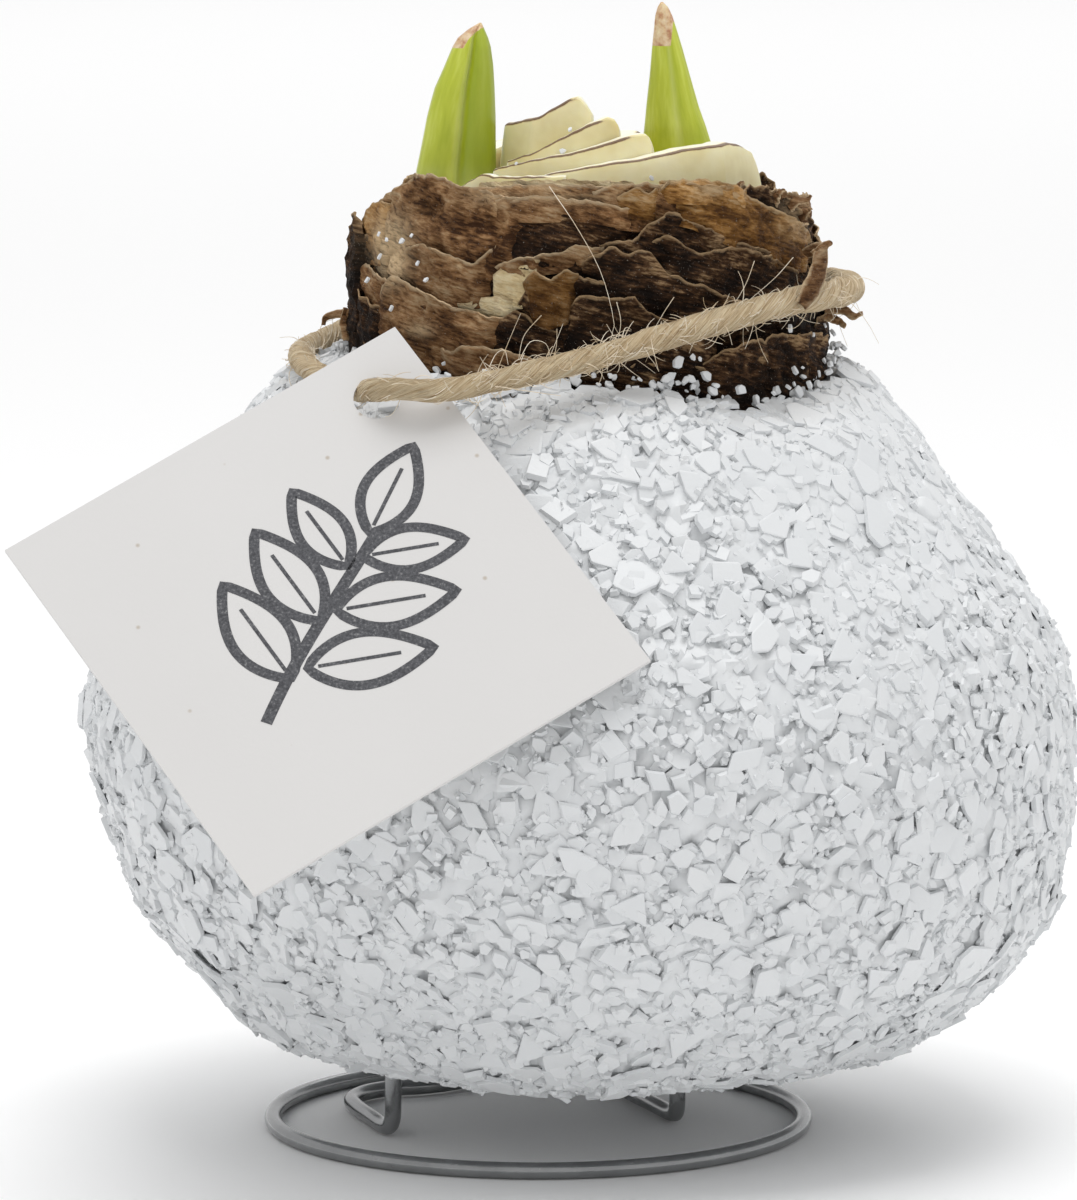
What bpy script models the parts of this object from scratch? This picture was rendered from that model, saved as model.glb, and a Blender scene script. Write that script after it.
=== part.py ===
# Amaryllis bulb dipped in white wax flakes, standing on a bent wire stand.
# A brown, papery neck with cut cream scales and two green shoots comes out of the wax.
# A jute twine round the neck carries a square card tag.
# Millimetre figures are turned into metres by MM. The origin is on the floor under the wax ball.

import bmesh
import bpy
import math
import random
from mathutils import Matrix, Vector

MM = 0.001
GAP = 0.3
# The whole is moved by this much at the end, so the origin lies under the middle of its box
CENTRING = (-0.52, 0.06, 0.0)

# Wax ball: outer profile as radius and height, and how far its centre leans to +X with height
WAX_PROFILE = [
    (0.0, 89.6), (22.0, 89.8), (28.4, 89.6), (30.0, 89.0), (34.0, 86.0), (38.0, 81.0), (41.0, 76.0),
    (44.7, 71.0), (48.4, 66.0), (52.1, 61.0), (54.5, 56.0), (55.8, 51.0), (56.2, 46.0), (55.7, 41.0),
    (54.7, 36.0), (53.2, 31.0), (51.6, 26.0), (48.4, 22.0), (44.6, 18.0), (41.6, 14.4), (37.6, 11.8),
    (32.0, 10.4), (24.0, 9.7), (0.0, 9.6),
]
WAX_LEAN = [(6.0, 0.8), (20.0, 3.0), (35.0, 1.0), (50.0, -0.2), (92.0, -0.2)]
WAX_MIDDLE = 46.0
FLAKES = 390
FLAKE_SINK = 0.9
FLAKE_RISE = 0.25
FLAKE_TILT = 0.26

# Bulb: hidden round body and neck, with a shallow cut face at the top of the neck
NECK_X = 1.0
NECK_RADIUS = 26.0
NECK_FLOOR = 104.6
NECK_RIM = 108.9
BULB_STEPS = 36
NECK_PROFILE = [
    (0.0, NECK_FLOOR), (20.6, NECK_FLOOR + 0.1), (21.8, 107.6), (22.8, NECK_RIM), (24.2, 108.4),
    (25.0, 104.5), (25.5, 100.0), (25.9, 94.0), (26.2, 88.0), (26.6, 85.0),
]
BODY_PROFILE = [
    (30.0, 81.5), (34.6, 76.0), (42.6, 66.0), (48.0, 57.0), (50.2, 47.0), (48.8, 36.0), (44.6, 26.5),
    (38.6, 20.5), (32.0, 16.6), (24.0, 14.8), (0.0, 14.4),
]
NECK_HOLE = 28.1
SHEET_THICKNESS = 0.9

# Wire stand
WIRE = 0.95
RING_RADIUS = 30.6
RING_X = -4.7
RING_STEPS = 60
WIRE_LIFT = 0.15
PRONG_TOP = 26.0

# Tag
TAG_SIDE = 50.0
TAG_THICKNESS = 0.6
TAG_HOLE = 2.6
TAG_HOLE_INSET = 6.5
TAG_CENTRE = (-27.4, -50.3, 66.7)
TAG_TURN = -1.1
TAG_TILT = 53.8
TAG_ROLL = -55.8

# Twine
TWINE_RADIUS = 1.6
TWINE_POINTS = 70


def clear_scene():
    for ob in list(bpy.data.objects):
        bpy.data.objects.remove(ob, do_unlink=True)


def new_collection(name):
    coll = bpy.data.collections.new(name)
    bpy.context.scene.collection.children.link(coll)
    return coll


def new_material(name, colour, roughness, metallic=0.0):
    mat = bpy.data.materials.new(name)
    mat.use_nodes = True
    shader = mat.node_tree.nodes["Principled BSDF"]
    shader.inputs["Base Color"].default_value = (*colour, 1.0)
    shader.inputs["Roughness"].default_value = roughness
    shader.inputs["Metallic"].default_value = metallic
    return mat


def add_object(name, data, coll, mat=None):
    ob = bpy.data.objects.new(name, data)
    coll.objects.link(ob)
    if mat is not None:
        data.materials.append(mat)
    return ob


def finish_bmesh(bm, name, coll, mat=None):
    bmesh.ops.recalc_face_normals(bm, faces=bm.faces)
    mesh = bpy.data.meshes.new(name)
    bm.to_mesh(mesh)
    bm.free()
    return add_object(name, mesh, coll, mat)


def to_mesh_object(ob, coll, mat=None):
    """Replace an object by its evaluated mesh, with the caps of a curve welded on."""
    bpy.context.view_layer.update()
    graph = bpy.context.evaluated_depsgraph_get()
    mesh = bpy.data.meshes.new_from_object(ob.evaluated_get(graph))
    bm = bmesh.new()
    bm.from_mesh(mesh)
    bmesh.ops.remove_doubles(bm, verts=bm.verts, dist=0.00001)
    bmesh.ops.recalc_face_normals(bm, faces=bm.faces)
    bm.to_mesh(mesh)
    bm.free()
    name = ob.name
    place = ob.matrix_world.copy()
    bpy.data.objects.remove(ob, do_unlink=True)
    mesh.materials.clear()
    new = add_object(name, mesh, coll, mat)
    new.matrix_world = place
    return new


def as_cutter(ob):
    ob.hide_render = True
    ob.display_type = "WIRE"
    return ob


def add_boolean(ob, other, operation):
    mod = ob.modifiers.new(operation.title() + " " + other.name, "BOOLEAN")
    mod.operation = operation
    mod.solver = "EXACT"
    mod.object = other


def turned(name, profile, steps, coll, mat=None):
    """A profile of radius and height, from top to bottom, turned round Z."""
    bm = bmesh.new()
    verts = [bm.verts.new((r * MM, 0.0, z * MM)) for r, z in profile]
    for a, b in zip(verts, verts[1:]):
        bm.edges.new((a, b))
    mesh = bpy.data.meshes.new(name)
    bm.to_mesh(mesh)
    bm.free()
    ob = add_object(name, mesh, coll, mat)
    mod = ob.modifiers.new("Screw", "SCREW")
    mod.angle = math.tau
    mod.steps = steps
    mod.render_steps = steps
    mod.use_merge_vertices = True
    mod.merge_threshold = 0.00001
    return ob


def interpolate(table, x):
    """Linear reading of a table of pairs with rising first figures."""
    if x <= table[0][0]:
        return table[0][1]
    for (x0, y0), (x1, y1) in zip(table, table[1:]):
        if x <= x1:
            return y0 + (y1 - y0) * (x - x0) / (x1 - x0)
    return table[-1][1]


def grown(profile, amount):
    """The profile moved outwards by a fixed amount, ends kept on the axis."""
    out = []
    for i, (r, z) in enumerate(profile):
        before = profile[max(i - 1, 0)]
        after = profile[min(i + 1, len(profile) - 1)]
        dr = after[0] - before[0]
        dz = after[1] - before[1]
        length = math.hypot(dr, dz)
        nr = -dz / length
        nz = dr / length
        out.append((0.0 if r == 0.0 else r + nr * amount, z + nz * amount))
    return out


def smooth_path(points, count):
    """Evenly spaced points on a smooth curve through the given points."""
    pts = [Vector(p) for p in points]
    ext = [pts[0] * 2 - pts[1]] + pts + [pts[-1] * 2 - pts[-2]]
    dense = []
    for i in range(1, len(ext) - 2):
        p0, p1, p2, p3 = ext[i - 1:i + 3]
        for k in range(24):
            t = k / 24
            q = (p1 * 2 + (p2 - p0) * t + (p0 * 2 - p1 * 5 + p2 * 4 - p3) * t * t
                 + (p1 * 3 - p0 - p2 * 3 + p3) * t * t * t) * 0.5
            dense.append(q)
    dense.append(pts[-1])
    run = [0.0]
    for a, b in zip(dense, dense[1:]):
        run.append(run[-1] + (b - a).length)
    out = []
    j = 0
    for i in range(count):
        goal = run[-1] * i / (count - 1)
        while j < len(run) - 2 and run[j + 1] < goal:
            j += 1
        span = run[j + 1] - run[j]
        t = 0.0 if span == 0.0 else (goal - run[j]) / span
        out.append(dense[j].lerp(dense[j + 1], min(max(t, 0.0), 1.0)))
    return out


def tube(name, points, radius, coll, mat=None):
    curve = bpy.data.curves.new(name, "CURVE")
    curve.dimensions = "3D"
    curve.bevel_depth = radius * MM
    curve.bevel_resolution = 2
    curve.use_fill_caps = True
    spline = curve.splines.new("POLY")
    spline.points.add(len(points) - 1)
    for p, co in zip(spline.points, points):
        p.co = (co[0] * MM, co[1] * MM, co[2] * MM, 1.0)
    return add_object(name, curve, coll, mat)


# Wax ball


def ball_point(direction, offset):
    """Point of the wax profile in this direction from its middle, moved outwards by an offset."""
    angle = math.atan2(math.hypot(direction.x, direction.y), direction.z)
    reach = interpolate(ball_table, angle) + offset
    p = direction.normalized() * reach
    z = p.z + WAX_MIDDLE
    return Vector((p.x + interpolate(WAX_LEAN, z), p.y, z))


def make_ball_table():
    table = []
    for (r0, z0), (r1, z1) in zip(WAX_PROFILE, WAX_PROFILE[1:]):
        for k in range(12):
            t = k / 12
            r = r0 + (r1 - r0) * t
            z = z0 + (z1 - z0) * t - WAX_MIDDLE
            table.append((math.atan2(r, z), math.hypot(r, z)))
    table.append((math.pi, WAX_MIDDLE - WAX_PROFILE[-1][1]))
    return table


def flake_seeds(rng):
    """Scattered directions with about the same room each."""
    golden = math.pi * (3.0 - math.sqrt(5.0))
    spread = 0.42 * math.sqrt(4.0 * math.pi / FLAKES)
    seeds = []
    for i in range(FLAKES):
        z = 1.0 - 2.0 * (i + 0.5) / FLAKES
        r = math.sqrt(1.0 - z * z)
        v = Vector((r * math.cos(golden * i), r * math.sin(golden * i), z))
        v += Vector((rng.uniform(-1, 1), rng.uniform(-1, 1), rng.uniform(-1, 1))) * spread
        seeds.append(v.normalized())
    return seeds


def flaked_ball(name, coll, mat):
    """A closed ball whose skin is broken into flat, tilted flakes with steps between them."""
    rng = random.Random(23)
    hull = bmesh.new()
    for s in flake_seeds(rng):
        hull.verts.new(s)
    bmesh.ops.convex_hull(hull, input=hull.verts)
    hull.faces.ensure_lookup_table()
    hull.normal_update()
    corner = {}
    for face in hull.faces:
        n = face.normal if face.normal.dot(face.calc_center_median()) > 0 else -face.normal
        corner[face.index] = ball_point(n, -FLAKE_SINK + rng.uniform(-0.25, 0.1))
    # Corners nearer than a small distance become one
    same = {i: i for i in corner}

    def root(i):
        while same[i] != i:
            i = same[i]
        return i

    for edge in hull.edges:
        a, b = (f.index for f in edge.link_faces)
        if (corner[a] - corner[b]).length < 0.9:
            same[root(a)] = root(b)
    out = bmesh.new()
    base = {}
    for i in corner:
        if root(i) == i:
            base[i] = out.verts.new(corner[i] * MM)
    for vert in hull.verts:
        ring = []
        loop = vert.link_loops[0]
        first = loop
        while True:
            i = root(loop.face.index)
            if not ring or ring[-1] != i:
                ring.append(i)
            loop = loop.link_loop_prev.link_loop_radial_next
            if loop == first:
                break
        if ring[0] == ring[-1]:
            ring.pop()
        if len(ring) < 3:
            continue
        points = [corner[i] for i in ring]
        middle = sum(points, Vector()) / len(points)
        up = vert.co.normalized()
        slope = Vector((rng.gauss(0, 1), rng.gauss(0, 1), rng.gauss(0, 1))) * FLAKE_TILT
        slope -= up * slope.dot(up)
        rise = FLAKE_SINK + FLAKE_RISE + rng.uniform(-0.7, 0.35)
        inset = rng.uniform(0.78, 0.9)
        top = []
        for p in points:
            arm = (p - middle) * inset
            arm -= up * arm.dot(up)
            lift = rise + min(max(arm.dot(slope), -0.9), 0.75)
            top.append(out.verts.new((middle + arm + up * lift) * MM))
        out.faces.new(top)
        for k in range(len(ring)):
            n = (k + 1) % len(ring)
            out.faces.new((base[ring[k]], base[ring[n]], top[n], top[k]))
    hull.free()
    bmesh.ops.triangulate(out, faces=[f for f in out.faces if len(f.verts) > 3])
    return finish_bmesh(out, name, coll, mat)


# Bulb and its papery sheets


def neck_radius(z):
    table = sorted((h, r) for r, h in NECK_PROFILE if r > 24.0)
    return interpolate(table, z)


def papery_sheet(name, start, end, low, high_left, high_right, lift, flare, seed, columns=7, rows=2):
    """A thin ragged sheet that hugs the neck from one bearing to another."""
    rng = random.Random(seed)
    bm = bmesh.new()
    phases = [rng.uniform(0, math.tau) for _ in range(3)]
    grid = []
    for i in range(columns + 1):
        u = i / columns
        bearing = start + (end - start) * u
        ragged = 0.55 * math.sin(9.0 * u + phases[0]) + 0.35 * math.sin(17.0 * u + phases[1])
        high = high_left + (high_right - high_left) * u + ragged
        foot = low + 0.5 * math.sin(7.0 * u + phases[2])
        column = []
        for j in range(rows + 1):
            t = j / rows
            z = foot + (high - foot) * t
            wave = 0.22 * math.sin(11.0 * u + 3.0 * t + phases[1])
            edge = flare * t * t * (0.6 + 0.4 * math.sin(5.0 * u + phases[0]))
            r = neck_radius(z) + lift + wave * t + edge
            a = math.radians(bearing + rng.uniform(-0.8, 0.8))
            column.append(bm.verts.new(((NECK_X + r * math.cos(a)) * MM, r * math.sin(a) * MM, z * MM)))
        grid.append(column)
    for i in range(columns):
        for j in range(rows):
            bm.faces.new((grid[i][j], grid[i + 1][j], grid[i + 1][j + 1], grid[i][j + 1]))
    mesh = bpy.data.meshes.new(name)
    bm.to_mesh(mesh)
    bm.free()
    ob = add_object(name, mesh, cutters)
    mod = ob.modifiers.new("Solidify", "SOLIDIFY")
    mod.thickness = SHEET_THICKNESS * MM
    mod.offset = 1.0
    return as_cutter(to_mesh_object(ob, cutters))


def bulb_core(coll, mat):
    """Round body and neck in one, with a slightly uneven neck."""
    ob = turned("bulb", NECK_PROFILE + BODY_PROFILE, BULB_STEPS, coll)
    ob = to_mesh_object(ob, coll, mat)
    for v in ob.data.vertices:
        x, y, z = (c / MM for c in v.co)
        if z > 90.0 and math.hypot(x, y) > 20.0:
            a = math.atan2(y, x)
            push = 1.0 + 0.012 * math.sin(3.0 * a + 0.6) + 0.008 * math.sin(7.0 * a + z * 0.3)
            x, y = x * push, y * push
            if z > 106.0:
                z += 0.5 * math.sin(5.0 * a + 1.1) + 0.35 * math.sin(11.0 * a)
        v.co = Vector((x + NECK_X, y, z)) * MM
    return ob


# Bearings in degrees: -90 is the front, 0 the right side, 180 the left side.
# Each row: start, end, foot height, top height at start and at end, lift off the neck, flare, seed.
SHEETS = [
    (-176, -128, 91.0, 105.0, 109.4, -0.35, 0.5, 1),
    (-166, -108, 97.5, 109.0, 110.6, -0.2, 0.5, 2),
    (-162, -116, 86.0, 96.4, 97.8, 0.1, 0.8, 3),
    (-124, -78, 98.5, 108.2, 109.0, -0.1, 0.7, 4),
    (-121, -84, 88.0, 101.2, 102.6, 0.05, 0.6, 5),
    (-92, -44, 89.5, 104.6, 99.4, 0.35, 0.9, 6),
    (-76, -22, 92.0, 107.2, 99.8, 0.0, 1.1, 7),
    (-70, -6, 102.0, 110.8, 106.4, 0.1, 1.3, 8),
    (-62, 2, 85.5, 93.6, 93.0, 0.2, 0.7, 9),
    (-20, 34, 94.0, 107.0, 106.0, -0.3, 0.9, 10),
    (18, 70, 89.0, 103.0, 105.5, 0.1, 1.0, 11),
    (30, 92, 99.0, 108.6, 109.6, -0.2, 0.8, 12),
    (75, 128, 88.0, 100.4, 103.0, 0.3, 1.0, 13),
    (96, 156, 98.0, 109.2, 107.8, -0.15, 0.9, 14),
    (136, 186, 87.5, 102.0, 99.0, 0.15, 1.0, 15),
]


def loose_scrap(name, bearing, height, width, drop, reach, twist):
    """A small curled shred of dry skin whose root lies in the neck."""
    bm = bmesh.new()
    a = math.radians(bearing)
    out = Vector((math.cos(a), math.sin(a), 0.0))
    side = Vector((-math.sin(a), math.cos(a), 0.0))
    root = Vector((NECK_X, 0.0, 0.0)) + out * (neck_radius(height) - 1.2)
    rows = []
    for i in range(5):
        t = i / 4
        mid = root + out * (reach + 1.2) * math.sin(t * 1.5) + Vector((0, 0, height - drop * t * t))
        turn = twist * t
        across = (side * math.cos(turn) + Vector((0, 0, 1)) * math.sin(turn)) * width * (1.0 - 0.35 * t) * 0.5
        rows.append([bm.verts.new((mid - across) * MM), bm.verts.new((mid + across) * MM)])
    for low, high in zip(rows, rows[1:]):
        bm.faces.new((low[0], low[1], high[1], high[0]))
    mesh = bpy.data.meshes.new(name)
    bm.to_mesh(mesh)
    bm.free()
    ob = add_object(name, mesh, cutters)
    mod = ob.modifiers.new("Solidify", "SOLIDIFY")
    mod.thickness = SHEET_THICKNESS * MM
    mod.offset = 0.0
    return as_cutter(to_mesh_object(ob, cutters))


def one_skin(ob, coll, mat):
    """The joined shape as a plain mesh, with the closed pockets between its sheets filled."""
    ob = to_mesh_object(ob, coll, mat)
    bm = bmesh.new()
    bm.from_mesh(ob.data)
    bmesh.ops.dissolve_degenerate(bm, dist=0.004 * MM, edges=bm.edges)
    bmesh.ops.triangulate(bm, faces=[f for f in bm.faces if len(f.verts) > 4])
    left = set(bm.faces)
    shells = []
    while left:
        stack = [left.pop()]
        shell = []
        while stack:
            face = stack.pop()
            shell.append(face)
            for edge in face.edges:
                for other in edge.link_faces:
                    if other in left:
                        left.discard(other)
                        stack.append(other)
        shells.append(shell)
    shells.sort(key=len)
    for shell in shells[:-1]:
        bmesh.ops.delete(bm, geom=shell, context="FACES")
    bmesh.ops.delete(bm, geom=[v for v in bm.verts if not v.link_faces], context="VERTS")
    bm.to_mesh(ob.data)
    bm.free()
    return ob


# Bearing, height of the root, width, drop of the tip, reach out of the neck, twist
SCRAPS = [
    (-4, 93.4, 2.6, -1.0, 2.6, 0.9),
    (176, 93.2, 2.4, -0.6, 2.4, -0.8),
    (-28, 104.4, 3.2, 0.8, 2.2, 0.5),
    (-178, 103.0, 3.0, 2.4, 1.6, 0.3),
    (64, 96.0, 3.0, 1.6, 2.0, -0.6),
]


# Cut cream scales inside the neck


def cream_scale(name, radius, thickness, start, end, tops, coll, mat, columns=8):
    """A thick slice of a scale, bent round the middle of the neck, with a sloping cut top."""
    bm = bmesh.new()
    rows = 2
    grid = []
    floor = NECK_FLOOR + 0.1 + GAP + 0.1
    for i in range(columns + 1):
        u = i / columns
        a = math.radians(start + (end - start) * u)
        top = interpolate(tops, u)
        round_off = 0.5 * (1.0 - math.sin(math.pi * min(max(u, 0.04), 0.96)) ** 0.3)
        column = []
        for j in range(rows + 1):
            t = j / rows
            r = radius + 0.35 * math.sin(math.pi * t) - 0.5 * t
            z = floor + (top - round_off - floor) * t
            column.append(bm.verts.new(((NECK_X + r * math.cos(a)) * MM, r * math.sin(a) * MM, z * MM)))
        grid.append(column)
    for i in range(columns):
        for j in range(rows):
            bm.faces.new((grid[i][j], grid[i + 1][j], grid[i + 1][j + 1], grid[i][j + 1]))
    mesh = bpy.data.meshes.new(name)
    bm.to_mesh(mesh)
    bm.free()
    ob = add_object(name, mesh, coll, mat)
    mod = ob.modifiers.new("Solidify", "SOLIDIFY")
    mod.thickness = thickness * MM
    mod.offset = 0.0
    return ob


# Name, radius, thickness, start and end bearing, top height along the slice
SCALES = [
    ("scale_front", 17.9, 2.8, -106, -24, [(0.0, 110.6), (0.35, 111.8), (0.86, 114.0), (1.0, 110.0)]),
    ("scale_middle", 14.1, 2.2, -133, -58, [(0.0, 110.4), (0.5, 111.8), (0.93, 114.4), (1.0, 113.4)]),
    ("scale_upper_right", 11.4, 2.0, -112, -50, [(0.0, 112.6), (0.6, 115.6), (0.85, 116.6), (1.0, 115.4)]),
    ("scale_upper_left", 8.8, 2.2, -164, -62, [(0.0, 115.2), (0.45, 116.6), (0.72, 118.6), (1.0, 116.4)]),
    ("scale_left", 18.1, 2.4, -134, -112, [(0.0, 109.6), (0.5, 110.2), (1.0, 110.4)]),
    ("scale_back_outer", 17.9, 2.8, 23, 174, [(0.0, 110.6), (0.4, 112.4), (0.8, 111.4), (1.0, 109.8)]),
    ("scale_back_middle", 13.7, 2.6, 44, 170, [(0.0, 112.0), (0.5, 113.8), (1.0, 111.6)]),
    ("scale_back_inner", 9.7, 2.4, 58, 182, [(0.0, 113.2), (0.5, 114.8), (1.0, 112.6)]),
    ("scale_heart", 4.8, 2.8, -140, 152, [(0.0, 112.0), (0.5, 114.4), (1.0, 113.0)]),
]


# Green shoots


def shoot(name, sections, cleft, coll, mat, sides=12):
    """A pointed, flattened shoot of folded leaves, lofted through its cross-sections."""
    bm = bmesh.new()
    rings = []
    for x, y, z, half_width, half_depth in sections:
        ring = []
        for k in range(sides):
            a = math.tau * k / sides
            c = math.cos(a)
            s = math.sin(a)
            reach = 1.0
            if s < 0.0:
                reach -= cleft * max(0.0, 1.0 - abs(c - 0.12) / 0.3)
            ring.append(bm.verts.new(((x + half_width * c * reach) * MM,
                                      (y + half_depth * s * reach) * MM, z * MM)))
        rings.append(ring)
    for low, high in zip(rings, rings[1:]):
        for k in range(sides):
            n = (k + 1) % sides
            bm.faces.new((low[k], low[n], high[n], high[k]))
    bm.faces.new(rings[0][::-1])
    bm.faces.new(rings[-1])
    return finish_bmesh(bm, name, coll, mat)


SHOOT_FLOOR = NECK_FLOOR + 0.1 + GAP + 0.1
LEFT_SHOOT = [
    (-13.9, -4.9, SHOOT_FLOOR, 4.3, 3.1), (-13.7, -4.9, 110.6, 4.5, 3.2), (-13.1, -5.0, 116.7, 3.95, 2.9),
    (-12.6, -5.1, 121.2, 3.25, 2.4), (-12.1, -5.2, 124.5, 2.3, 1.8), (-11.4, -5.2, 126.2, 1.0, 0.9),
    (-11.0, -5.2, 126.8, 0.4, 0.4),
]
RIGHT_SHOOT = [
    (11.2, 2.4, SHOOT_FLOOR, 4.0, 2.9), (11.1, 2.4, 112.6, 3.8, 2.8), (10.7, 2.4, 118.1, 2.95, 2.3),
    (10.3, 2.3, 122.0, 2.25, 1.8), (10.0, 2.2, 125.0, 1.6, 1.35), (9.8, 2.2, 127.4, 0.95, 0.8),
    (9.5, 2.1, 128.9, 0.35, 0.35),
]


# Wire stand


def stand_ring(coll, mat):
    """Closed ring of round wire with a flat of its eight sides down."""
    corner = WIRE / math.cos(math.pi / 8.0)
    bm = bmesh.new()
    verts = []
    for k in range(8):
        a = math.pi / 8.0 - math.tau * k / 8.0
        verts.append(bm.verts.new(((RING_RADIUS + corner * math.cos(a)) * MM, 0.0,
                                   (WIRE + corner * math.sin(a)) * MM)))
    for k in range(8):
        bm.edges.new((verts[k], verts[(k + 1) % 8]))
    mesh = bpy.data.meshes.new("stand_ring")
    bm.to_mesh(mesh)
    bm.free()
    ob = add_object("stand_ring", mesh, coll, mat)
    ob.location.x = RING_X * MM
    mod = ob.modifiers.new("Screw", "SCREW")
    mod.angle = math.tau
    mod.steps = RING_STEPS
    mod.render_steps = RING_STEPS
    mod.use_merge_vertices = True
    mod.merge_threshold = 0.00001
    return ob


PRONG_LEFT = (-21.25, -8.4)
PRONG_RIGHT = (11.3, -0.8)


def prong_points():
    """One bent wire: left prong, floor arm, U-turn, run to the back of the ring, right prong."""
    h = WIRE + WIRE_LIFT
    lx, ly = PRONG_LEFT
    rx, ry = PRONG_RIGHT
    route = [
        (lx, ly, PRONG_TOP), (lx, ly, 14.0), (lx, ly, 5.0), (lx - 0.15, ly + 0.25, h + 0.9),
        (lx - 0.9, ly + 1.6, h), (-23.9, -1.8, h), (-25.7, 4.0, h), (-26.4, 8.4, h), (-25.1, 12.4, h),
        (-22.0, 15.2, h), (-17.4, 16.8, h), (-13.0, 20.4, h), (-9.2, 26.0, h), (-5.4, 28.2, h),
        (-1.0, 27.4, h), (2.8, 22.0, h), (5.8, 13.6, h), (8.8, 5.6, h), (rx - 0.5, ry + 1.4, h),
        (rx - 0.05, ry + 0.1, h + 0.9), (rx, ry, 5.0), (rx, ry, 14.0), (rx, ry, PRONG_TOP),
    ]
    return smooth_path(route, 54)


def prong_holes(low, high, tag):
    holes = []
    for i, (x, y) in enumerate((PRONG_LEFT, PRONG_RIGHT)):
        bpy.ops.mesh.primitive_cylinder_add(
            vertices=12, radius=(WIRE + GAP + 0.12) * MM, depth=(high - low) * MM,
            location=(x * MM, y * MM, (low + high) * 0.5 * MM))
        ob = bpy.context.object
        ob.name = "prong_hole_%s_%d" % (tag, i)
        bpy.context.collection.objects.unlink(ob)
        cutters.objects.link(ob)
        holes.append(as_cutter(ob))
    return holes


# Tag and twine


def tag_matrix():
    return (Matrix.Translation(Vector(TAG_CENTRE) * MM)
            @ Matrix.Rotation(math.radians(TAG_TURN), 4, "Z")
            @ Matrix.Rotation(math.radians(TAG_TILT), 4, "X")
            @ Matrix.Rotation(math.radians(TAG_ROLL), 4, "Z"))


def make_tag(coll, mat):
    """A square card with a punched hole near its top corner."""
    curve = bpy.data.curves.new("tag", "CURVE")
    curve.dimensions = "2D"
    curve.fill_mode = "BOTH"
    curve.extrude = TAG_THICKNESS * 0.5 * MM
    half = TAG_SIDE * 0.5
    square = [(-half, -half), (half, -half), (half, half), (-half, half)]
    hx = -half + TAG_HOLE_INSET
    hy = half - TAG_HOLE_INSET
    hole = [(hx + TAG_HOLE * math.cos(math.tau * k / 16), hy + TAG_HOLE * math.sin(math.tau * k / 16))
            for k in range(16)]
    for outline in (square, hole):
        spline = curve.splines.new("POLY")
        spline.points.add(len(outline) - 1)
        spline.use_cyclic_u = True
        for p, (x, y) in zip(spline.points, outline):
            p.co = (x * MM, y * MM, 0.0, 1.0)
    ob = add_object("tag", curve, coll, mat)
    ob.matrix_world = tag_matrix()
    return ob


def hole_point(height):
    """A point over the middle of the tag's hole, at this height above its middle plane."""
    half = TAG_SIDE * 0.5
    p = tag_matrix() @ Vector(((-half + TAG_HOLE_INSET) * MM, (half - TAG_HOLE_INSET) * MM, height * MM))
    return tuple(p / MM)


KNOT = (3.2, 31.6, 93.6)


def twine_points():
    """From the knot behind the neck round the right side, through the tag and round the left side."""
    hx, hy, hz = hole_point(3.6)
    route = [
        (7.4, 31.0, 93.9), (17.6, 26.6, 95.2), (26.4, 16.6, 96.2), (30.6, 3.0, 96.6), (28.9, -11.0, 97.0),
        (23.2, -20.6, 96.8), (13.6, -28.0, 95.2), (2.4, -32.4, 92.4), (-8.6, -36.4, 90.9),
        (-15.6, -38.8, 90.5), (hx + 1.4, hy - 0.6, hz + 0.5), hole_point(2.0), hole_point(0.0),
        hole_point(-2.0), (-24.4, -29.8, 86.3), (-28.6, -22.0, 88.2), (-31.2, -12.0, 89.9),
        (-31.4, -1.0, 90.7), (-28.4, 11.0, 91.4), (-20.4, 22.6, 92.2), (-9.0, 29.8, 93.0), (-1.0, 31.6, 93.3),
    ]
    return smooth_path(route, TWINE_POINTS)


def make_knot(coll, mat):
    bpy.ops.mesh.primitive_uv_sphere_add(segments=12, ring_count=8, radius=1.0, location=(0, 0, 0))
    ob = bpy.context.object
    ob.name = "twine_knot"
    ob.data.name = "twine_knot"
    ob.data.transform(Matrix.Diagonal((3.7 * MM, 2.6 * MM, 3.2 * MM, 1.0)))
    ob.location = Vector(KNOT) * MM
    for c in list(ob.users_collection):
        c.objects.unlink(ob)
    coll.objects.link(ob)
    ob.data.materials.append(mat)
    return ob


clear_scene()
parts = new_collection("Amaryllis bulb")
cutters = new_collection("Cutters")

white_wax = new_material("white wax", (0.86, 0.89, 0.91), 0.45)
brown_skin = new_material("brown dry skin", (0.16, 0.09, 0.045), 0.75)
cream = new_material("cream flesh", (0.83, 0.78, 0.52), 0.5)
green = new_material("green leaf", (0.42, 0.6, 0.07), 0.4)
jute = new_material("jute", (0.6, 0.46, 0.29), 0.9)
card = new_material("card", (0.82, 0.8, 0.76), 0.8)
steel = new_material("zinc steel", (0.45, 0.46, 0.46), 0.35, 1.0)

ball_table = make_ball_table()
wax = flaked_ball("wax_coat", parts, white_wax)
body = [(NECK_HOLE, 100.0), (NECK_HOLE, 86.0)] + grown([(26.6, 85.0)] + BODY_PROFILE, GAP)[1:]
cavity = as_cutter(turned("cavity", [(0.0, 100.0)] + body, BULB_STEPS, cutters))
cavity.location.x = NECK_X * MM
add_boolean(wax, cavity, "DIFFERENCE")
for hole in prong_holes(3.0, 16.5, "wax"):
    add_boolean(wax, hole, "DIFFERENCE")

bulb = bulb_core(parts, brown_skin)
for number, row in enumerate(SHEETS):
    add_boolean(bulb, papery_sheet("sheet_%02d" % number, *row), "UNION")
for number, row in enumerate(SCRAPS):
    add_boolean(bulb, loose_scrap("scrap_%02d" % number, *row), "UNION")
bulb = one_skin(bulb, parts, brown_skin)
for hole in prong_holes(5.0, PRONG_TOP + 0.6, "bulb"):
    add_boolean(bulb, hole, "DIFFERENCE")

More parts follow.
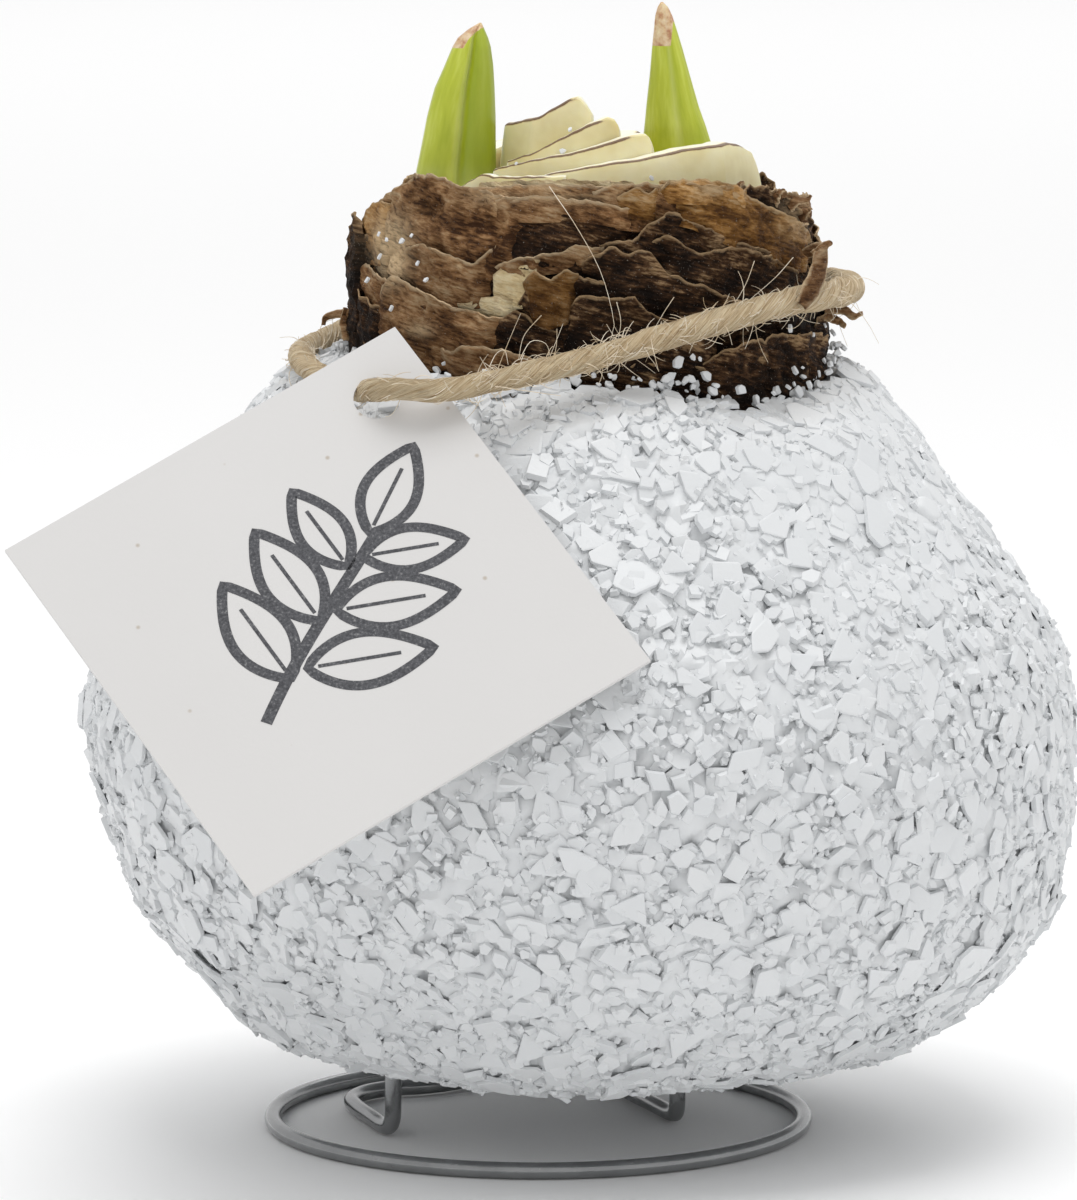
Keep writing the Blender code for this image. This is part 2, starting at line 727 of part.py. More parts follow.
for label, radius, thickness, start, end, tops in SCALES:
    cream_scale(label, radius, thickness, start, end, tops, parts, cream)
shoot("shoot_left", LEFT_SHOOT, 0.34, parts, green)
shoot("shoot_right", RIGHT_SHOOT, 0.12, parts, green)

stand_ring(parts, steel)
tube("stand_prongs", prong_points(), WIRE, parts, steel)

make_tag(parts, card)
tube("twine", twine_points(), TWINE_RADIUS, parts, jute)
make_knot(parts, jute)

for ob in list(parts.objects) + list(cutters.objects):
    ob.location += Vector(CENTRING) * MM
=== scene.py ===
# Amaryllis bulb dipped in white wax flakes, on a bent wire stand, with a card tag on jute twine.
# Figures are in millimetres before SHIFT, as in the part's source, and become metres in place().

import math
import random

import bmesh
import bpy
import numpy as np
from mathutils import Matrix, Vector, kdtree, noise


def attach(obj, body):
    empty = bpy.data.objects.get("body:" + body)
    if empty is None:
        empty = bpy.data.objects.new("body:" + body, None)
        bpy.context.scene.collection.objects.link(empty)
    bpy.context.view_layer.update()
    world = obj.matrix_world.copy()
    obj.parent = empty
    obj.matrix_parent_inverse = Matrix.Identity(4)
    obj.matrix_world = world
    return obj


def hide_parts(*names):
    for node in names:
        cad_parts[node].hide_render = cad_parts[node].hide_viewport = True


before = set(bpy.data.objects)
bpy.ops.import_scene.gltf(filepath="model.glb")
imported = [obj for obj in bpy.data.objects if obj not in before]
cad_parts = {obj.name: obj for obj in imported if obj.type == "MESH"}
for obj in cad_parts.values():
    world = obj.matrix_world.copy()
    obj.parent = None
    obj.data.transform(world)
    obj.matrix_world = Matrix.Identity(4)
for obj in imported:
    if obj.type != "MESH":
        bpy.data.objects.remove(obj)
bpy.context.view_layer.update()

MM = 0.001
SHIFT = np.array((-0.52, 0.06, 0.0))
NECK_X = 1.0
WIRE_RADIUS = 0.95
PRONG_FEET = ((-21.25, -8.4), (11.3, -0.8))
scene = bpy.context.scene
scene.view_settings.view_transform = "Standard"
scene.view_settings.look = "None"


# Workshop helpers


def choose(*obs):
    """Selects only these objects, the first of them active."""
    if bpy.context.object and bpy.context.object.mode != "OBJECT":
        bpy.ops.object.mode_set(mode="OBJECT")
    bpy.ops.object.select_all(action="DESELECT")
    for ob in obs:
        ob.select_set(True)
    if obs:
        bpy.context.view_layer.objects.active = obs[0]


def edit_all():
    bpy.ops.object.mode_set(mode="EDIT")
    bpy.ops.mesh.select_all(action="SELECT")


def place(points):
    """Millimetre points of the part's own frame as metres in the row frame."""
    return (np.asarray(points, float) + SHIFT) * MM


def adopt(ob, name, finish, nodes=(), smooth=None):
    """Names a finished piece and gives it its finish and its body; smooth is an angle in degrees."""
    ob.name = name
    ob.data.name = name
    ob.data.materials.clear()
    ob.data.materials.append(finish)
    if smooth is not None:
        choose(ob)
        if smooth >= 180:
            bpy.ops.object.shade_smooth()
        else:
            bpy.ops.object.shade_smooth_by_angle(angle=math.radians(smooth))
    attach(ob, "root")
    if nodes:
        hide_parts(*nodes)
    return ob


def mesh_piece(name, points, faces):
    """A new object from millimetre points and faces."""
    mesh = bpy.data.meshes.new(name)
    mesh.from_pydata([tuple(p) for p in place(points)], [], [tuple(f) for f in faces])
    mesh.validate()
    ob = bpy.data.objects.new(name, mesh)
    scene.collection.objects.link(ob)
    return ob


def set_points(ob, points):
    """Moves the mesh's points to these millimetre places."""
    ob.data.vertices.foreach_set("co", place(points).astype(np.float32).ravel())
    ob.data.update()


def mark(ob, **values):
    """Values that a finish reads, one for each point or one for all."""
    for name, value in values.items():
        layer = ob.data.attributes.new(name, "FLOAT", "POINT")
        layer.data.foreach_set("value", np.full(len(ob.data.vertices), value, np.float32))


def corners_of(ob):
    """The point number at each face corner."""
    index = np.zeros(len(ob.data.loops), np.int32)
    ob.data.loops.foreach_get("vertex_index", index)
    return index


def set_uv(ob, values):
    """Writes the UV map from a pair of values for each point, or for each face corner."""
    values = np.asarray(values, float)
    if len(values) == len(ob.data.vertices):
        values = values[corners_of(ob)]
    layer = ob.data.uv_layers.active or ob.data.uv_layers.new(name="UVMap")
    layer.data.foreach_set("uv", values.astype(np.float32).ravel())


def apply_modifiers(ob):
    choose(ob)
    for mod in list(ob.modifiers):
        bpy.ops.object.modifier_apply(modifier=mod.name)


def thicken(ob, thickness, offset=0.0):
    """Makes a sheet solid, in the units of its mesh."""
    solid = ob.modifiers.new("thickness", "SOLIDIFY")
    solid.thickness = thickness
    solid.offset = offset
    apply_modifiers(ob)


def outward(ob):
    """Merges doubled points and turns the faces outwards."""
    choose(ob)
    edit_all()
    bpy.ops.mesh.remove_doubles(threshold=0.000002)
    bpy.ops.mesh.normals_make_consistent(inside=False)
    bpy.ops.object.mode_set(mode="OBJECT")


def join(obs):
    choose(*obs)
    bpy.ops.object.join()
    return obs[0]


def unit(v):
    return v / np.linalg.norm(v, axis=-1, keepdims=True)


def read_table(table, x):
    return np.interp(x, *zip(*table))


def smooth_step(low, high, x):
    t = np.clip((np.asarray(x, float) - low) / (high - low), 0.0, 1.0)
    return t * t * (3.0 - 2.0 * t)


def cloud(points, scale=1.0, shift=(0.0, 0.0, 0.0)):
    """Noise at each of the points."""
    return np.array([noise.noise(Vector(q) * scale + Vector(shift)) for q in points])


def ring_noise(turn, size, level):
    """Noise round a ring of this size at this level of the noise."""
    return cloud(np.stack([np.cos(turn) * size, np.sin(turn) * size, np.full(len(turn), level)], 1))


def run_of(path):
    """Distance travelled at each point of a path."""
    return np.concatenate([[0.0], np.cumsum(np.linalg.norm(np.diff(path, axis=0), axis=1))])


def smooth_path(points, count):
    """Evenly spaced points on a smooth curve through the given points."""
    pts = [np.asarray(p, float) for p in points]
    ext = [pts[0] * 2 - pts[1]] + pts + [pts[-1] * 2 - pts[-2]]
    dense = []
    for i in range(1, len(ext) - 2):
        p0, p1, p2, p3 = ext[i - 1:i + 3]
        for t in np.arange(24) / 24:
            dense.append((p1 * 2 + (p2 - p0) * t + (p0 * 2 - p1 * 5 + p2 * 4 - p3) * t * t
                          + (p1 * 3 - p0 - p2 * 3 + p3) * t * t * t) * 0.5)
    dense = np.array(dense + [pts[-1]])
    run = run_of(dense)
    goal = np.linspace(0.0, run[-1], count)
    return np.stack([np.interp(goal, run, dense[:, k]) for k in range(3)], 1)


def path_frames(path):
    """Tangent and two side directions along a path, turned as little as possible."""
    tangent = unit(np.gradient(path, axis=0))
    side = np.cross(tangent[0], (1.0, 0.0, 0.0) if abs(tangent[0][2]) > 0.9 else (0.0, 0.0, 1.0))
    sides = []
    for t in tangent:
        side = unit(side - t * side.dot(t))
        sides.append(side)
    return tangent, np.array(sides), np.cross(tangent, sides)


def ring_faces(rows, steps, first=0, capped=False):
    """Four-sided faces between rings of points, with the end rings closed if capped."""
    faces = []
    for i in range(first, first + (rows - 1) * steps, steps):
        for k in range(steps):
            n = (k + 1) % steps
            faces.append((i + k, i + n, i + steps + n, i + steps + k))
    if capped:
        faces += [tuple(range(steps))[::-1], tuple(range((rows - 1) * steps, rows * steps))]
    return faces


def tube_mesh(path, radii, steps, twist=0.0, lobes=0, lobe_depth=0.0):
    """Rings of points round a path, with closed ends; lobes twist along the run."""
    tangent, a, b = path_frames(path)
    run = run_of(path)
    turn = np.linspace(0.0, math.tau, steps, endpoint=False)
    wave = np.abs(np.cos(0.5 * lobes * (turn + twist * run[:, None])))
    reach = np.broadcast_to(radii, (len(path),))[:, None] * (1.0 - lobe_depth + lobe_depth * wave ** 0.6)
    points = (path[:, None] + (np.cos(turn) * reach)[..., None] * a[:, None]
              + (np.sin(turn) * reach)[..., None] * b[:, None])
    return points.reshape(-1, 3), ring_faces(len(path), steps, capped=True), run


def gather(parts):
    """Several sets of points and faces as one."""
    points, faces, base = [], [], 0
    for p, f in parts:
        points.append(p)
        faces += [tuple(i + base for i in face) for face in f]
        base += len(p)
    return np.concatenate(points), faces


def round_neck(bearing, radius, height):
    """Points by their bearing in degrees, distance from the neck's axis and height."""
    a = np.radians(bearing)
    return np.stack([NECK_X + radius * np.cos(a), radius * np.sin(a), height], -1)


# Finishes


class Flow:
    """A node's output that can be added to, taken from, multiplied and compared, by a Math node each."""

    def __init__(self, tree, socket):
        self.tree, self.socket = tree, socket

    def maths(self, operation, *values):
        node = add_node(self.tree, "ShaderNodeMath", operation=operation)
        for socket, value in zip(node.inputs, values):
            feed(self.tree, socket, value)
        return Flow(self.tree, node.outputs[0])

    def __add__(self, other):
        return self.maths("ADD", self, other)

    def __sub__(self, other):
        return self.maths("SUBTRACT", self, other)

    def __rsub__(self, other):
        return self.maths("SUBTRACT", other, self)

    def __mul__(self, other):
        return self.maths("MULTIPLY", self, other)

    def __gt__(self, other):
        return self.maths("GREATER_THAN", self, other)

    def clamped(self):
        self.socket.node.use_clamp = True
        return self


def feed(tree, socket, value):
    """Links an output to a socket, or sets the socket's plain number, colour or vector."""
    if isinstance(value, Flow):
        tree.links.new(value.socket, socket)
    elif hasattr(value, "__len__"):
        socket.default_value = (*value, 1.0)[:len(socket.default_value)]
    else:
        socket.default_value = value


def add_node(tree, kind, **values):
    """A node with its settings and inputs; _ stands for a space in an input's name."""
    node = tree.nodes.new(kind)
    for key, value in values.items():
        if hasattr(node, key):
            setattr(node, key, value)
        else:
            feed(tree, node.inputs[key.replace("_", " ")], value)
    return node


def grain_group():
    """Noise of two scales on the coordinate given: one broad, one fine."""
    group = bpy.data.node_groups.new("two scale grain", "ShaderNodeTree")
    for name, way, kind in (("Vector", "INPUT", "Vector"), ("Broad scale", "INPUT", "Float"),
                            ("Fine scale", "INPUT", "Float"), ("Broad", "OUTPUT", "Float"),
                            ("Fine", "OUTPUT", "Float")):
        group.interface.new_socket(name, in_out=way, socket_type="NodeSocket" + kind)
    given = [Flow(group, socket) for socket in group.nodes.new("NodeGroupInput").outputs]
    result = group.nodes.new("NodeGroupOutput")
    for k, (detail, roughness) in enumerate(((3.0, 0.6), (5.0, 0.65))):
        texture = add_node(group, "ShaderNodeTexNoise", Vector=given[0], Scale=given[k + 1], Detail=detail,
                           Roughness=roughness)
        group.links.new(texture.outputs["Fac"], result.inputs[k])
    return group


GRAIN = grain_group()


class Finish:
    """A material being built; most methods add a node and give its output."""

    def __init__(self, name, roughness, metallic=0.0):
        self.material = bpy.data.materials.new(name)
        self.material.use_nodes = True
        self.tree = self.material.node_tree
        self.set(Roughness=roughness, Metallic=metallic)

    def set(self, **values):
        """Sets or links the shader's own sockets."""
        for key, value in values.items():
            feed(self.tree, self.tree.nodes["Principled BSDF"].inputs[key.replace("_", " ")], value)

    def out(self, output, kind, **values):
        return Flow(self.tree, add_node(self.tree, kind, **values).outputs[output])

    def where(self, source="Object", scale=(1.0, 1.0, 1.0)):
        """Object or UV coordinates, stretched by a Mapping node."""
        return self.out(0, "ShaderNodeMapping", Vector=self.out(source, "ShaderNodeTexCoord"), Scale=scale)

    def own(self, name):
        """A value that the mesh carries at its points."""
        return self.out("Fac", "ShaderNodeAttribute", attribute_name=name)

    def grain(self, vector, broad, fine):
        node = add_node(self.tree, "ShaderNodeGroup", node_tree=GRAIN, Vector=vector, Broad_scale=broad,
                        Fine_scale=fine)
        return Flow(self.tree, node.outputs[0]), Flow(self.tree, node.outputs[1])

    def ramp(self, source, *stops):
        """A colour ramp; each stop is a position and a colour or a grey."""
        node = add_node(self.tree, "ShaderNodeValToRGB", Fac=source)
        elements = node.color_ramp.elements
        while len(elements) < len(stops):
            elements.new(0.5)
        for element, (position, colour) in zip(elements, stops):
            element.position = position
            element.color = (*(colour if hasattr(colour, "__len__") else (colour,) * 3), 1.0)
        return Flow(self.tree, node.outputs["Color"])

    def mix(self, amount, first, second, blend="MIX"):
        """A colour mix; amount, first and second are outputs or plain values."""
        node = add_node(self.tree, "ShaderNodeMix", data_type="RGBA", blend_type=blend)
        for socket, value in ((node.inputs[0], amount), (node.inputs[6], first), (node.inputs[7], second)):
            feed(self.tree, socket, value)
        return Flow(self.tree, node.outputs[2])

    def specks(self, where, scale, core, edge, channel, rarity):
        """Small soft dots at some of the middles of a pattern of cells."""
        cell = add_node(self.tree, "ShaderNodeTexVoronoi", Vector=where, Scale=scale)
        dot = self.ramp(Flow(self.tree, cell.outputs["Distance"]), (0.0, 1.0), (core, 1.0), (edge, 0.0))
        pick = self.out(channel, "ShaderNodeSeparateColor", Color=Flow(self.tree, cell.outputs["Color"]))
        return dot * (pick > rarity)

    def done(self, colour, height=None, strength=0.0, distance=0.0, **values):
        """Gives the shader its colour and its bump, and hands over the material."""
        self.set(Base_Color=colour, **values)
        if height:
            self.set(Normal=self.out("Normal", "ShaderNodeBump", Height=height, Strength=strength, Distance=distance))
        return self.material


def wax_finish(name, low, high):
    """White wax: each chip a little lighter or greyer, fine grain, and rare dark specks."""
    f = Finish(name, 0.38)
    where = f.where()
    broad, fine = f.grain(where, 90.0, 1100.0)
    colour = f.mix((f.own("tone") * 0.7 + broad * 0.3).clamped(), low, high)
    colour = f.mix(f.specks(where, 150.0, 0.035, 0.05, 0, 0.972), colour, (0.07, 0.045, 0.03))
    return f.done(colour, fine, 0.18, 0.0003, IOR=1.43)


def skin_finish(name, deep, middle, light, edge, gloss=0.6):
    """Dry papery skin: streaks and mottled patches, a pale torn edge, painted shade that darkens it further below that
    edge as if in the recess under the sheet above, worn spots and dust.
    """
    f = Finish(name, gloss)
    broad, fine = f.grain(f.where("UV", (0.32, 1.0, 1.0)), 0.45, 2.0)
    patch, dust = f.grain(f.where(), 260.0, 5200.0)
    edge_run = f.own("edge")
    # Painted shade: the colour darkens with distance below the torn edge, standing for the recess under the overlapping
    # sheet.
    painted_recess_shade = (edge_run * 0.22).clamped()
    streak = broad * 0.4 + fine * 0.6 + (patch - 0.5) * 0.55 + (0.45 - painted_recess_shade) * 0.09
    colour = f.ramp(streak, (0.36, deep), (0.47, middle), (0.56, light), (0.68, edge))
    colour = f.mix(1.0, colour, f.mix(f.own("tone"), (0.55, 0.5, 0.46), (1.4, 1.36, 1.3)), "MULTIPLY")
    colour = f.mix(f.own("worn") * f.ramp(fine, (0.36, 0.35), (0.52, 1.0)), colour, (0.84, 0.62, 0.37))
    ragged = (patch - 0.5) * 1.2 + (fine - 0.5) * 0.9
    colour = f.mix(f.ramp(edge_run + ragged, (0.0, 0.95), (0.12, 0.6), (0.34, 0.0)), colour, edge)
    colour = f.mix(f.ramp(dust, (0.63, 0.0), (0.70, 0.6)), colour, (0.62, 0.56, 0.48))
    return f.done(colour, fine + (broad * 1.3 + patch), 1.0, 0.0011, Specular_IOR_Level=0.1)


def flesh_finish():
    """Cut scale flesh: pale yellow cream, paler on cut faces, thin brown rim line."""
    f = Finish("cream flesh", 0.42)
    broad, fine = f.grain(f.where(), 130.0, 1100.0)
    colour = f.ramp(broad, (0.3, (0.68, 0.585, 0.29)), (0.5, (0.78, 0.705, 0.41)), (0.72, (0.85, 0.80, 0.54)))
    colour = f.mix(f.own("cut"), colour, (0.88, 0.85, 0.69))
    ragged = f.own("rim") + (fine - 0.5) * 0.7
    colour = f.mix(f.ramp(ragged, (0.15, 0.0), (0.7, 0.6)), colour, (0.42, 0.27, 0.12))
    colour = f.mix(f.ramp(ragged, (0.5, 0.0), (0.72, 0.95)), colour, (0.13, 0.065, 0.03))
    return f.done(colour, fine, 0.2, 0.0002, Subsurface_Weight=0.35, Subsurface_Radius=(1.0, 0.85, 0.4),
                  Subsurface_Scale=0.0015)


def leaf_finish():
    """Young leaf: lime green with fine ribs, painted shade on the right face of the fold, paler at the foot, a painted
    highlight line down the fold, tan dry tip.
    """
    f = Finish("young leaf", 0.32)
    broad, fine = f.grain(f.where("UV", (1.0, 0.1, 1.0)), 1.1, 8.0)
    colour = f.ramp(broad, (0.34, (0.41, 0.475, 0.022)), (0.52, (0.49, 0.55, 0.04)), (0.7, (0.59, 0.65, 0.10)))
    # Painted shade: the right face of the fold darker green.
    colour = f.mix(f.own("shade"), colour, (0.25, 0.33, 0.006))
    # Pale colour for the paler foot and for the painted highlight line down the fold.
    colour = f.mix(f.own("pale"), colour, (0.74, 0.80, 0.36))
    dry = f.ramp(f.own("tip") + (fine - 0.5) * 0.5, (0.45, 0.0), (0.6, 1.0))
    patch, dust = f.grain(f.where(), 900.0, 2600.0)
    tan = f.ramp(patch, (0.35, (0.45, 0.20, 0.10)), (0.5, (0.66, 0.46, 0.27)), (0.7, (0.80, 0.67, 0.46)))
    return f.done(f.mix(dry, colour, tan), fine, 0.14, 0.0003, Subsurface_Weight=0.25,
                  Subsurface_Radius=(0.8, 1.0, 0.2), Subsurface_Scale=0.0012)


def jute_finish():
    """Twisted jute: fibres run slanting round the twine, straw to tan."""
    f = Finish("jute fibre", 0.85)
    both = f.mix(0.6, *f.grain(f.where("UV", (0.07, 1.0, 1.0)), 2.0, 6.0))
    colour = f.ramp(both, (0.37, (0.36, 0.22, 0.10)), (0.46, (0.64, 0.47, 0.27)), (0.56, (0.83, 0.68, 0.45)),
                    (0.66, (0.91, 0.81, 0.60)))
    return f.done(colour, both, 1.0, 0.0011)


def fibre_finish():
    """Single loose fibres, paler than the twine."""
    f = Finish("loose fibre", 0.7)
    broad, fine = f.grain(f.where(), 300.0, 900.0)
    return f.done(f.ramp(broad, (0.35, (0.62, 0.49, 0.32)), (0.65, (0.88, 0.80, 0.66))))


def card_finish():
    """Uncoated off-white card with sparse specks and fine fibres."""
    f = Finish("uncoated card", 0.8)
    where = f.where()
    broad, fine = f.grain(where, 45.0, 1500.0)
    colour = f.mix(broad, (0.668, 0.657, 0.646), (0.70, 0.69, 0.68))
    speck = f.specks(where, 330.0, 0.04, 0.11, 1, 0.84)
    return f.done(f.mix(speck * 0.75, colour, (0.45, 0.38, 0.30)), fine, 0.15, 0.0001)


def ink_finish():
    """Dark grey ink, a little worn where the card's fibres show through."""
    f = Finish("dark grey ink", 0.6)
    broad, fine = f.grain(f.where(), 500.0, 3200.0)
    return f.done(f.ramp(fine, (0.38, (0.028, 0.029, 0.035)), (0.58, (0.085, 0.086, 0.095)), (0.7, (0.25, 0.25, 0.25))))


def steel_finish():
    """Zinc-coated wire: dull grey, slightly streaked along its run."""
    f = Finish("zinc coated wire", 0.34, 1.0)
    broad, fine = f.grain(f.where(), 160.0, 1800.0)
    colour = f.ramp(broad, (0.3, (0.27, 0.275, 0.28)), (0.7, (0.34, 0.345, 0.35)))
    return f.done(colour, fine, 0.04, 0.0001, Roughness=f.ramp(fine, (0.3, 0.16), (0.7, 0.28)))


WAX = wax_finish("white wax", (0.70, 0.718, 0.732), (0.76, 0.772, 0.78))
TAN_SKIN = skin_finish("tan dry skin", (0.055, 0.024, 0.010), (0.23, 0.118, 0.050), (0.43, 0.26, 0.13),
                       (0.64, 0.48, 0.30))
DARK_SKIN = skin_finish("dark dry skin", (0.006, 0.003, 0.0015), (0.022, 0.0105, 0.005), (0.085, 0.043, 0.02),
                        (0.46, 0.31, 0.17))
AMBER_SKIN = skin_finish("amber dry skin", (0.075, 0.032, 0.009), (0.22, 0.105, 0.028), (0.40, 0.22, 0.075),
                         (0.55, 0.39, 0.22), 0.42)
PALE_SKIN = skin_finish("pale inner skin", (0.62, 0.47, 0.25), (0.86, 0.71, 0.42), (0.92, 0.82, 0.56),
                        (0.62, 0.46, 0.26), 0.5)
FLESH = flesh_finish()
LEAF = leaf_finish()
JUTE = jute_finish()
FIBRE = fibre_finish()
CARD = card_finish()
INK = ink_finish()
STEEL = steel_finish()


# Camera, at the photograph's angle

lens = bpy.data.cameras.new("camera")
lens.lens = 210.0
lens.sensor_width = 36.0
lens.sensor_fit = "AUTO"
lens.clip_start = 0.05
lens.clip_end = 20.0
camera = bpy.data.objects.new("camera", lens)
scene.collection.objects.link(camera)
camera.location = (-0.00520, -0.79286, 0.16296)
camera.rotation_euler = (math.radians(90.0 - 7.336), 0.0, 0.0)
scene.camera = camera


# Tag and twine

TAG_SIDE = 50.0
TAG_CENTRE = (-27.4, -50.3, 66.7)
TAG_FRAME = np.array(Matrix.Rotation(math.radians(-1.1), 3, "Z") @ Matrix.Rotation(math.radians(53.8), 3, "X")
                     @ Matrix.Rotation(math.radians(-55.8), 3, "Z"))
TWIST = 0.42
TWINE_GIRTH = 10.5


def on_tag(points):
    """Points in the tag's own frame, moved to where the tag hangs."""
    return np.asarray(points, float) @ TAG_FRAME.T + TAG_CENTRE


def twine_path():
    return smooth_path([
        (7.4, 31.0, 93.9), (17.6, 26.6, 95.2), (26.4, 16.6, 96.2), (30.6, 3.0, 96.6), (28.9, -11.0, 97.0),
        (23.2, -20.6, 96.8), (13.6, -28.0, 94.9), (2.4, -32.4, 91.95), (-8.6, -36.2, 89.7), (-15.2, -38.0, 88.65),
        (-18.05, -38.29, 88.77), (-20.45, -37.65, 88.74), (-22.55, -35.92, 88.5), (-23.71, -32.97, 88.1),
        (-24.8, -29.4, 87.9), (-27.2, -24.6, 88.3), (-29.8, -19.0, 89.0), (-31.2, -11.0, 89.5),
        (-31.4, -1.0, 89.5), (-28.4, 11.0, 90.0), (-20.4, 22.6, 92.2), (-9.0, 29.8, 93.0), (-1.0, 31.6, 93.3),
    ], 520)


# Long loose fibres over the neck: bearing, distance from the neck's axis, height
LONG_FIBRES = [
    [(-99.1, 28.6, 110.1), (-92.9, 29.6, 105.7), (-88, 30.2, 101), (-85.6, 30.6, 96.6), (-85.4, 31.4, 94.5),
     (-87.1, 32.6, 92.8)],
    [(-73, 31.2, 98.1), (-75.3, 31.8, 96.6), (-77.9, 32.4, 94.5)],
    [(-43.6, 31.0, 101.8), (-49.8, 31.6, 99.8), (-56.4, 31.8, 97.6)],
    [(-54.4, 31.0, 101.7), (-56.9, 31.4, 99.4), (-60, 31.8, 97.3)],
    [(-99.9, 31.2, 96.2), (-103.1, 32.0, 94), (-103.7, 33.2, 91.5)],
    [(-103.3, 33.4, 91.6), (-101.6, 32.4, 93.4), (-98.8, 32.2, 93.2), (-97.6, 33.2, 91.9)],
    [(-109, 34.0, 90.6), (-108.2, 33.0, 92.0), (-106.6, 32.8, 92.4), (-105.4, 33.8, 90.9)],
    [(-84.6, 30.4, 97.6), (-83.9, 31.0, 95.6), (-84.6, 32.2, 93.6)],
]


def lay_twine():
    """The twisted strands of the twine, thicker and thinner along its run."""
    path, steps = twine_path(), 30
    rng = np.random.default_rng(4)
    places = np.arange(0, len(path) + 9, 9)
    lumps = 1.0 + 0.045 * np.interp(np.arange(len(path)), places, rng.normal(0, 1, len(places)))
    size = lumps * read_table([(0, 1.5), (40, 1.68), (60, 1.64), (80, 1.47), (100, 1.38), (112, 1.3), (122, 1.24),
                               (130, 1.32), (150, 1.45), (203, 1.5)], np.linspace(0.0, 203.0, len(path)))
    points, faces, run = tube_mesh(path, size, steps, twist=TWIST, lobes=3, lobe_depth=0.12)
    ob = mesh_piece("jute_twine", points, faces)
    index = corners_of(ob)
    along = np.repeat(run, steps)[index]
    around = np.tile(np.arange(steps) / steps, len(path))[index]
    for face in ob.data.polygons:
        if len(face.vertices) == 4:
            span = around[face.loop_start:face.loop_start + 4]
            if span.max() - span.min() > 0.5:
                span[span < 0.5] += 1.0
    set_uv(ob, np.stack([along, TWINE_GIRTH * (around + along * TWIST / math.tau)], 1))
    return adopt(ob, "jute_twine", JUTE, ["twine"], 180), path, run, size


def twine_fuzz(path, run, size):
    """Loose fibre ends and small loops, most along the twine's front run, and fibres that lie on its surface."""
    rng = np.random.default_rng(11)
    tangent, a, b = path_frames(path)
    front = np.nonzero((path[:, 1] < -14.0) & (path[:, 0] > -14.0))[0]
    paths = []
    for number in range(760):
        i = int(rng.choice(front)) if number % 3 else int(rng.integers(6, len(path) - 6))
        turn = rng.uniform(0, math.tau)
        out = a[i] * math.cos(turn) + b[i] * math.sin(turn)
        length = rng.gamma(1.7, 0.95) + 0.5
        lean = tangent[i] * rng.choice([-1, 1]) * rng.uniform(0.4, 1.9)
        curl = np.cross(out, tangent[i]) * rng.normal(0, 1.2)
        bow = rng.uniform(0.3, 0.95)
        paths.append([path[i] + out * 1.12 + (out * (1.1 * t - bow * t * t) + lean * t * 0.6 + curl * t * t * 0.6)
                      * length * 0.62 for t in np.linspace(0.0, 1.0, 7)])
    for _ in range(420):
        i = int(rng.integers(4, len(path) - 30))
        turn = rng.uniform(0, math.tau)
        lean = rng.uniform(-0.12, 0.12)
        wave = rng.uniform(0.0, 0.14)
        hair = []
        for k in range(9):
            j = i + k * int(rng.integers(1, 3))
            angle = turn - (TWIST + lean) * (run[j] - run[i])
            out = a[j] * math.cos(angle) + b[j] * math.sin(angle)
            hair.append(path[j] + out * (size[j] * 0.95 + wave * math.sin(k * 0.8)))
        paths.append(hair)
    paths += [smooth_path(round_neck(*np.transpose(line)), 14) for line in LONG_FIBRES]
    thin = 0.055
    points, faces = gather(tube_mesh(np.asarray(path), np.linspace(thin, thin / 2, len(path)), 3)[:2] for path in paths)
    return adopt(mesh_piece("twine_fuzz", points, faces), "twine_fuzz", FIBRE)


def tie_knot():
    """A small overhand knot: one cord wound over itself, with two short tails."""
    middle, steps = np.array((3.2, 31.6, 93.6)), 18
    t = np.linspace(0.0, math.tau, 90)
    paths = [middle + np.stack([1.9 * (np.sin(t) + 0.55 * np.sin(2 * t)), 0.9 * np.sin(3 * t),
                                1.6 * (np.cos(t) - 0.55 * np.cos(2 * t))], 1)]
    for tail in ([(-0.6, 0.3, 0.0), (-3.2, 1.6, -2.0), (-5.4, 1.4, -5.2)],
                 [(0.6, 0.3, 0.0), (3.4, 1.4, -2.6), (4.8, 1.0, -5.8)]):
        paths.append(smooth_path(middle + np.array(tail), 24))
    obs = []
    for path in paths:
        points, faces, run = tube_mesh(path, 1.35, steps, twist=0.7, lobes=3, lobe_depth=0.15)
        obs.append(mesh_piece("knot_strand", points, faces))
        along = np.repeat(run, steps)
        set_uv(obs[-1], np.stack([along, np.tile(np.arange(steps) / steps, len(path)) * 8.0 + along], 1))
    return adopt(join(obs), "jute_knot", JUTE, ["twine_knot"], 180)


def cut_tag():
    """Square card with a punched round hole."""
    choose()
    bpy.ops.mesh.primitive_circle_add(vertices=48, radius=2.6, fill_type="NOTHING", location=(-18.5, 18.5, 0.0))
    ob = bpy.context.object
    bm = bmesh.new()
    bm.from_mesh(ob.data)
    bmesh.ops.transform(bm, matrix=ob.matrix_world, verts=bm.verts)
    ob.matrix_world = Matrix()
    half, steps = TAG_SIDE / 2, 12
    corners = [(-half, -half), (half, -half), (half, half), (-half, half)]
    rim = []
    for (x0, y0), (x1, y1) in zip(corners, corners[1:] + corners[:1]):
        rim += [bm.verts.new((x0 + (x1 - x0) * s / steps, y0 + (y1 - y0) * s / steps, 0.0)) for s in range(steps)]
    for v, w in zip(rim, rim[1:] + rim[:1]):
        bm.edges.new((v, w))
    bmesh.ops.triangle_fill(bm, use_beauty=True, edges=bm.edges)
    bmesh.ops.recalc_face_normals(bm, faces=bm.faces)
    bm.to_mesh(ob.data)
    bm.free()
    thicken(ob, 0.5, -1.0)
    co = np.array([v.co[:] for v in ob.data.vertices])
    co[:, 2] -= co[:, 2].mean()
    set_points(ob, on_tag(co))
    outward(ob)
    return adopt(ob, "card_tag", CARD, ["tag"])


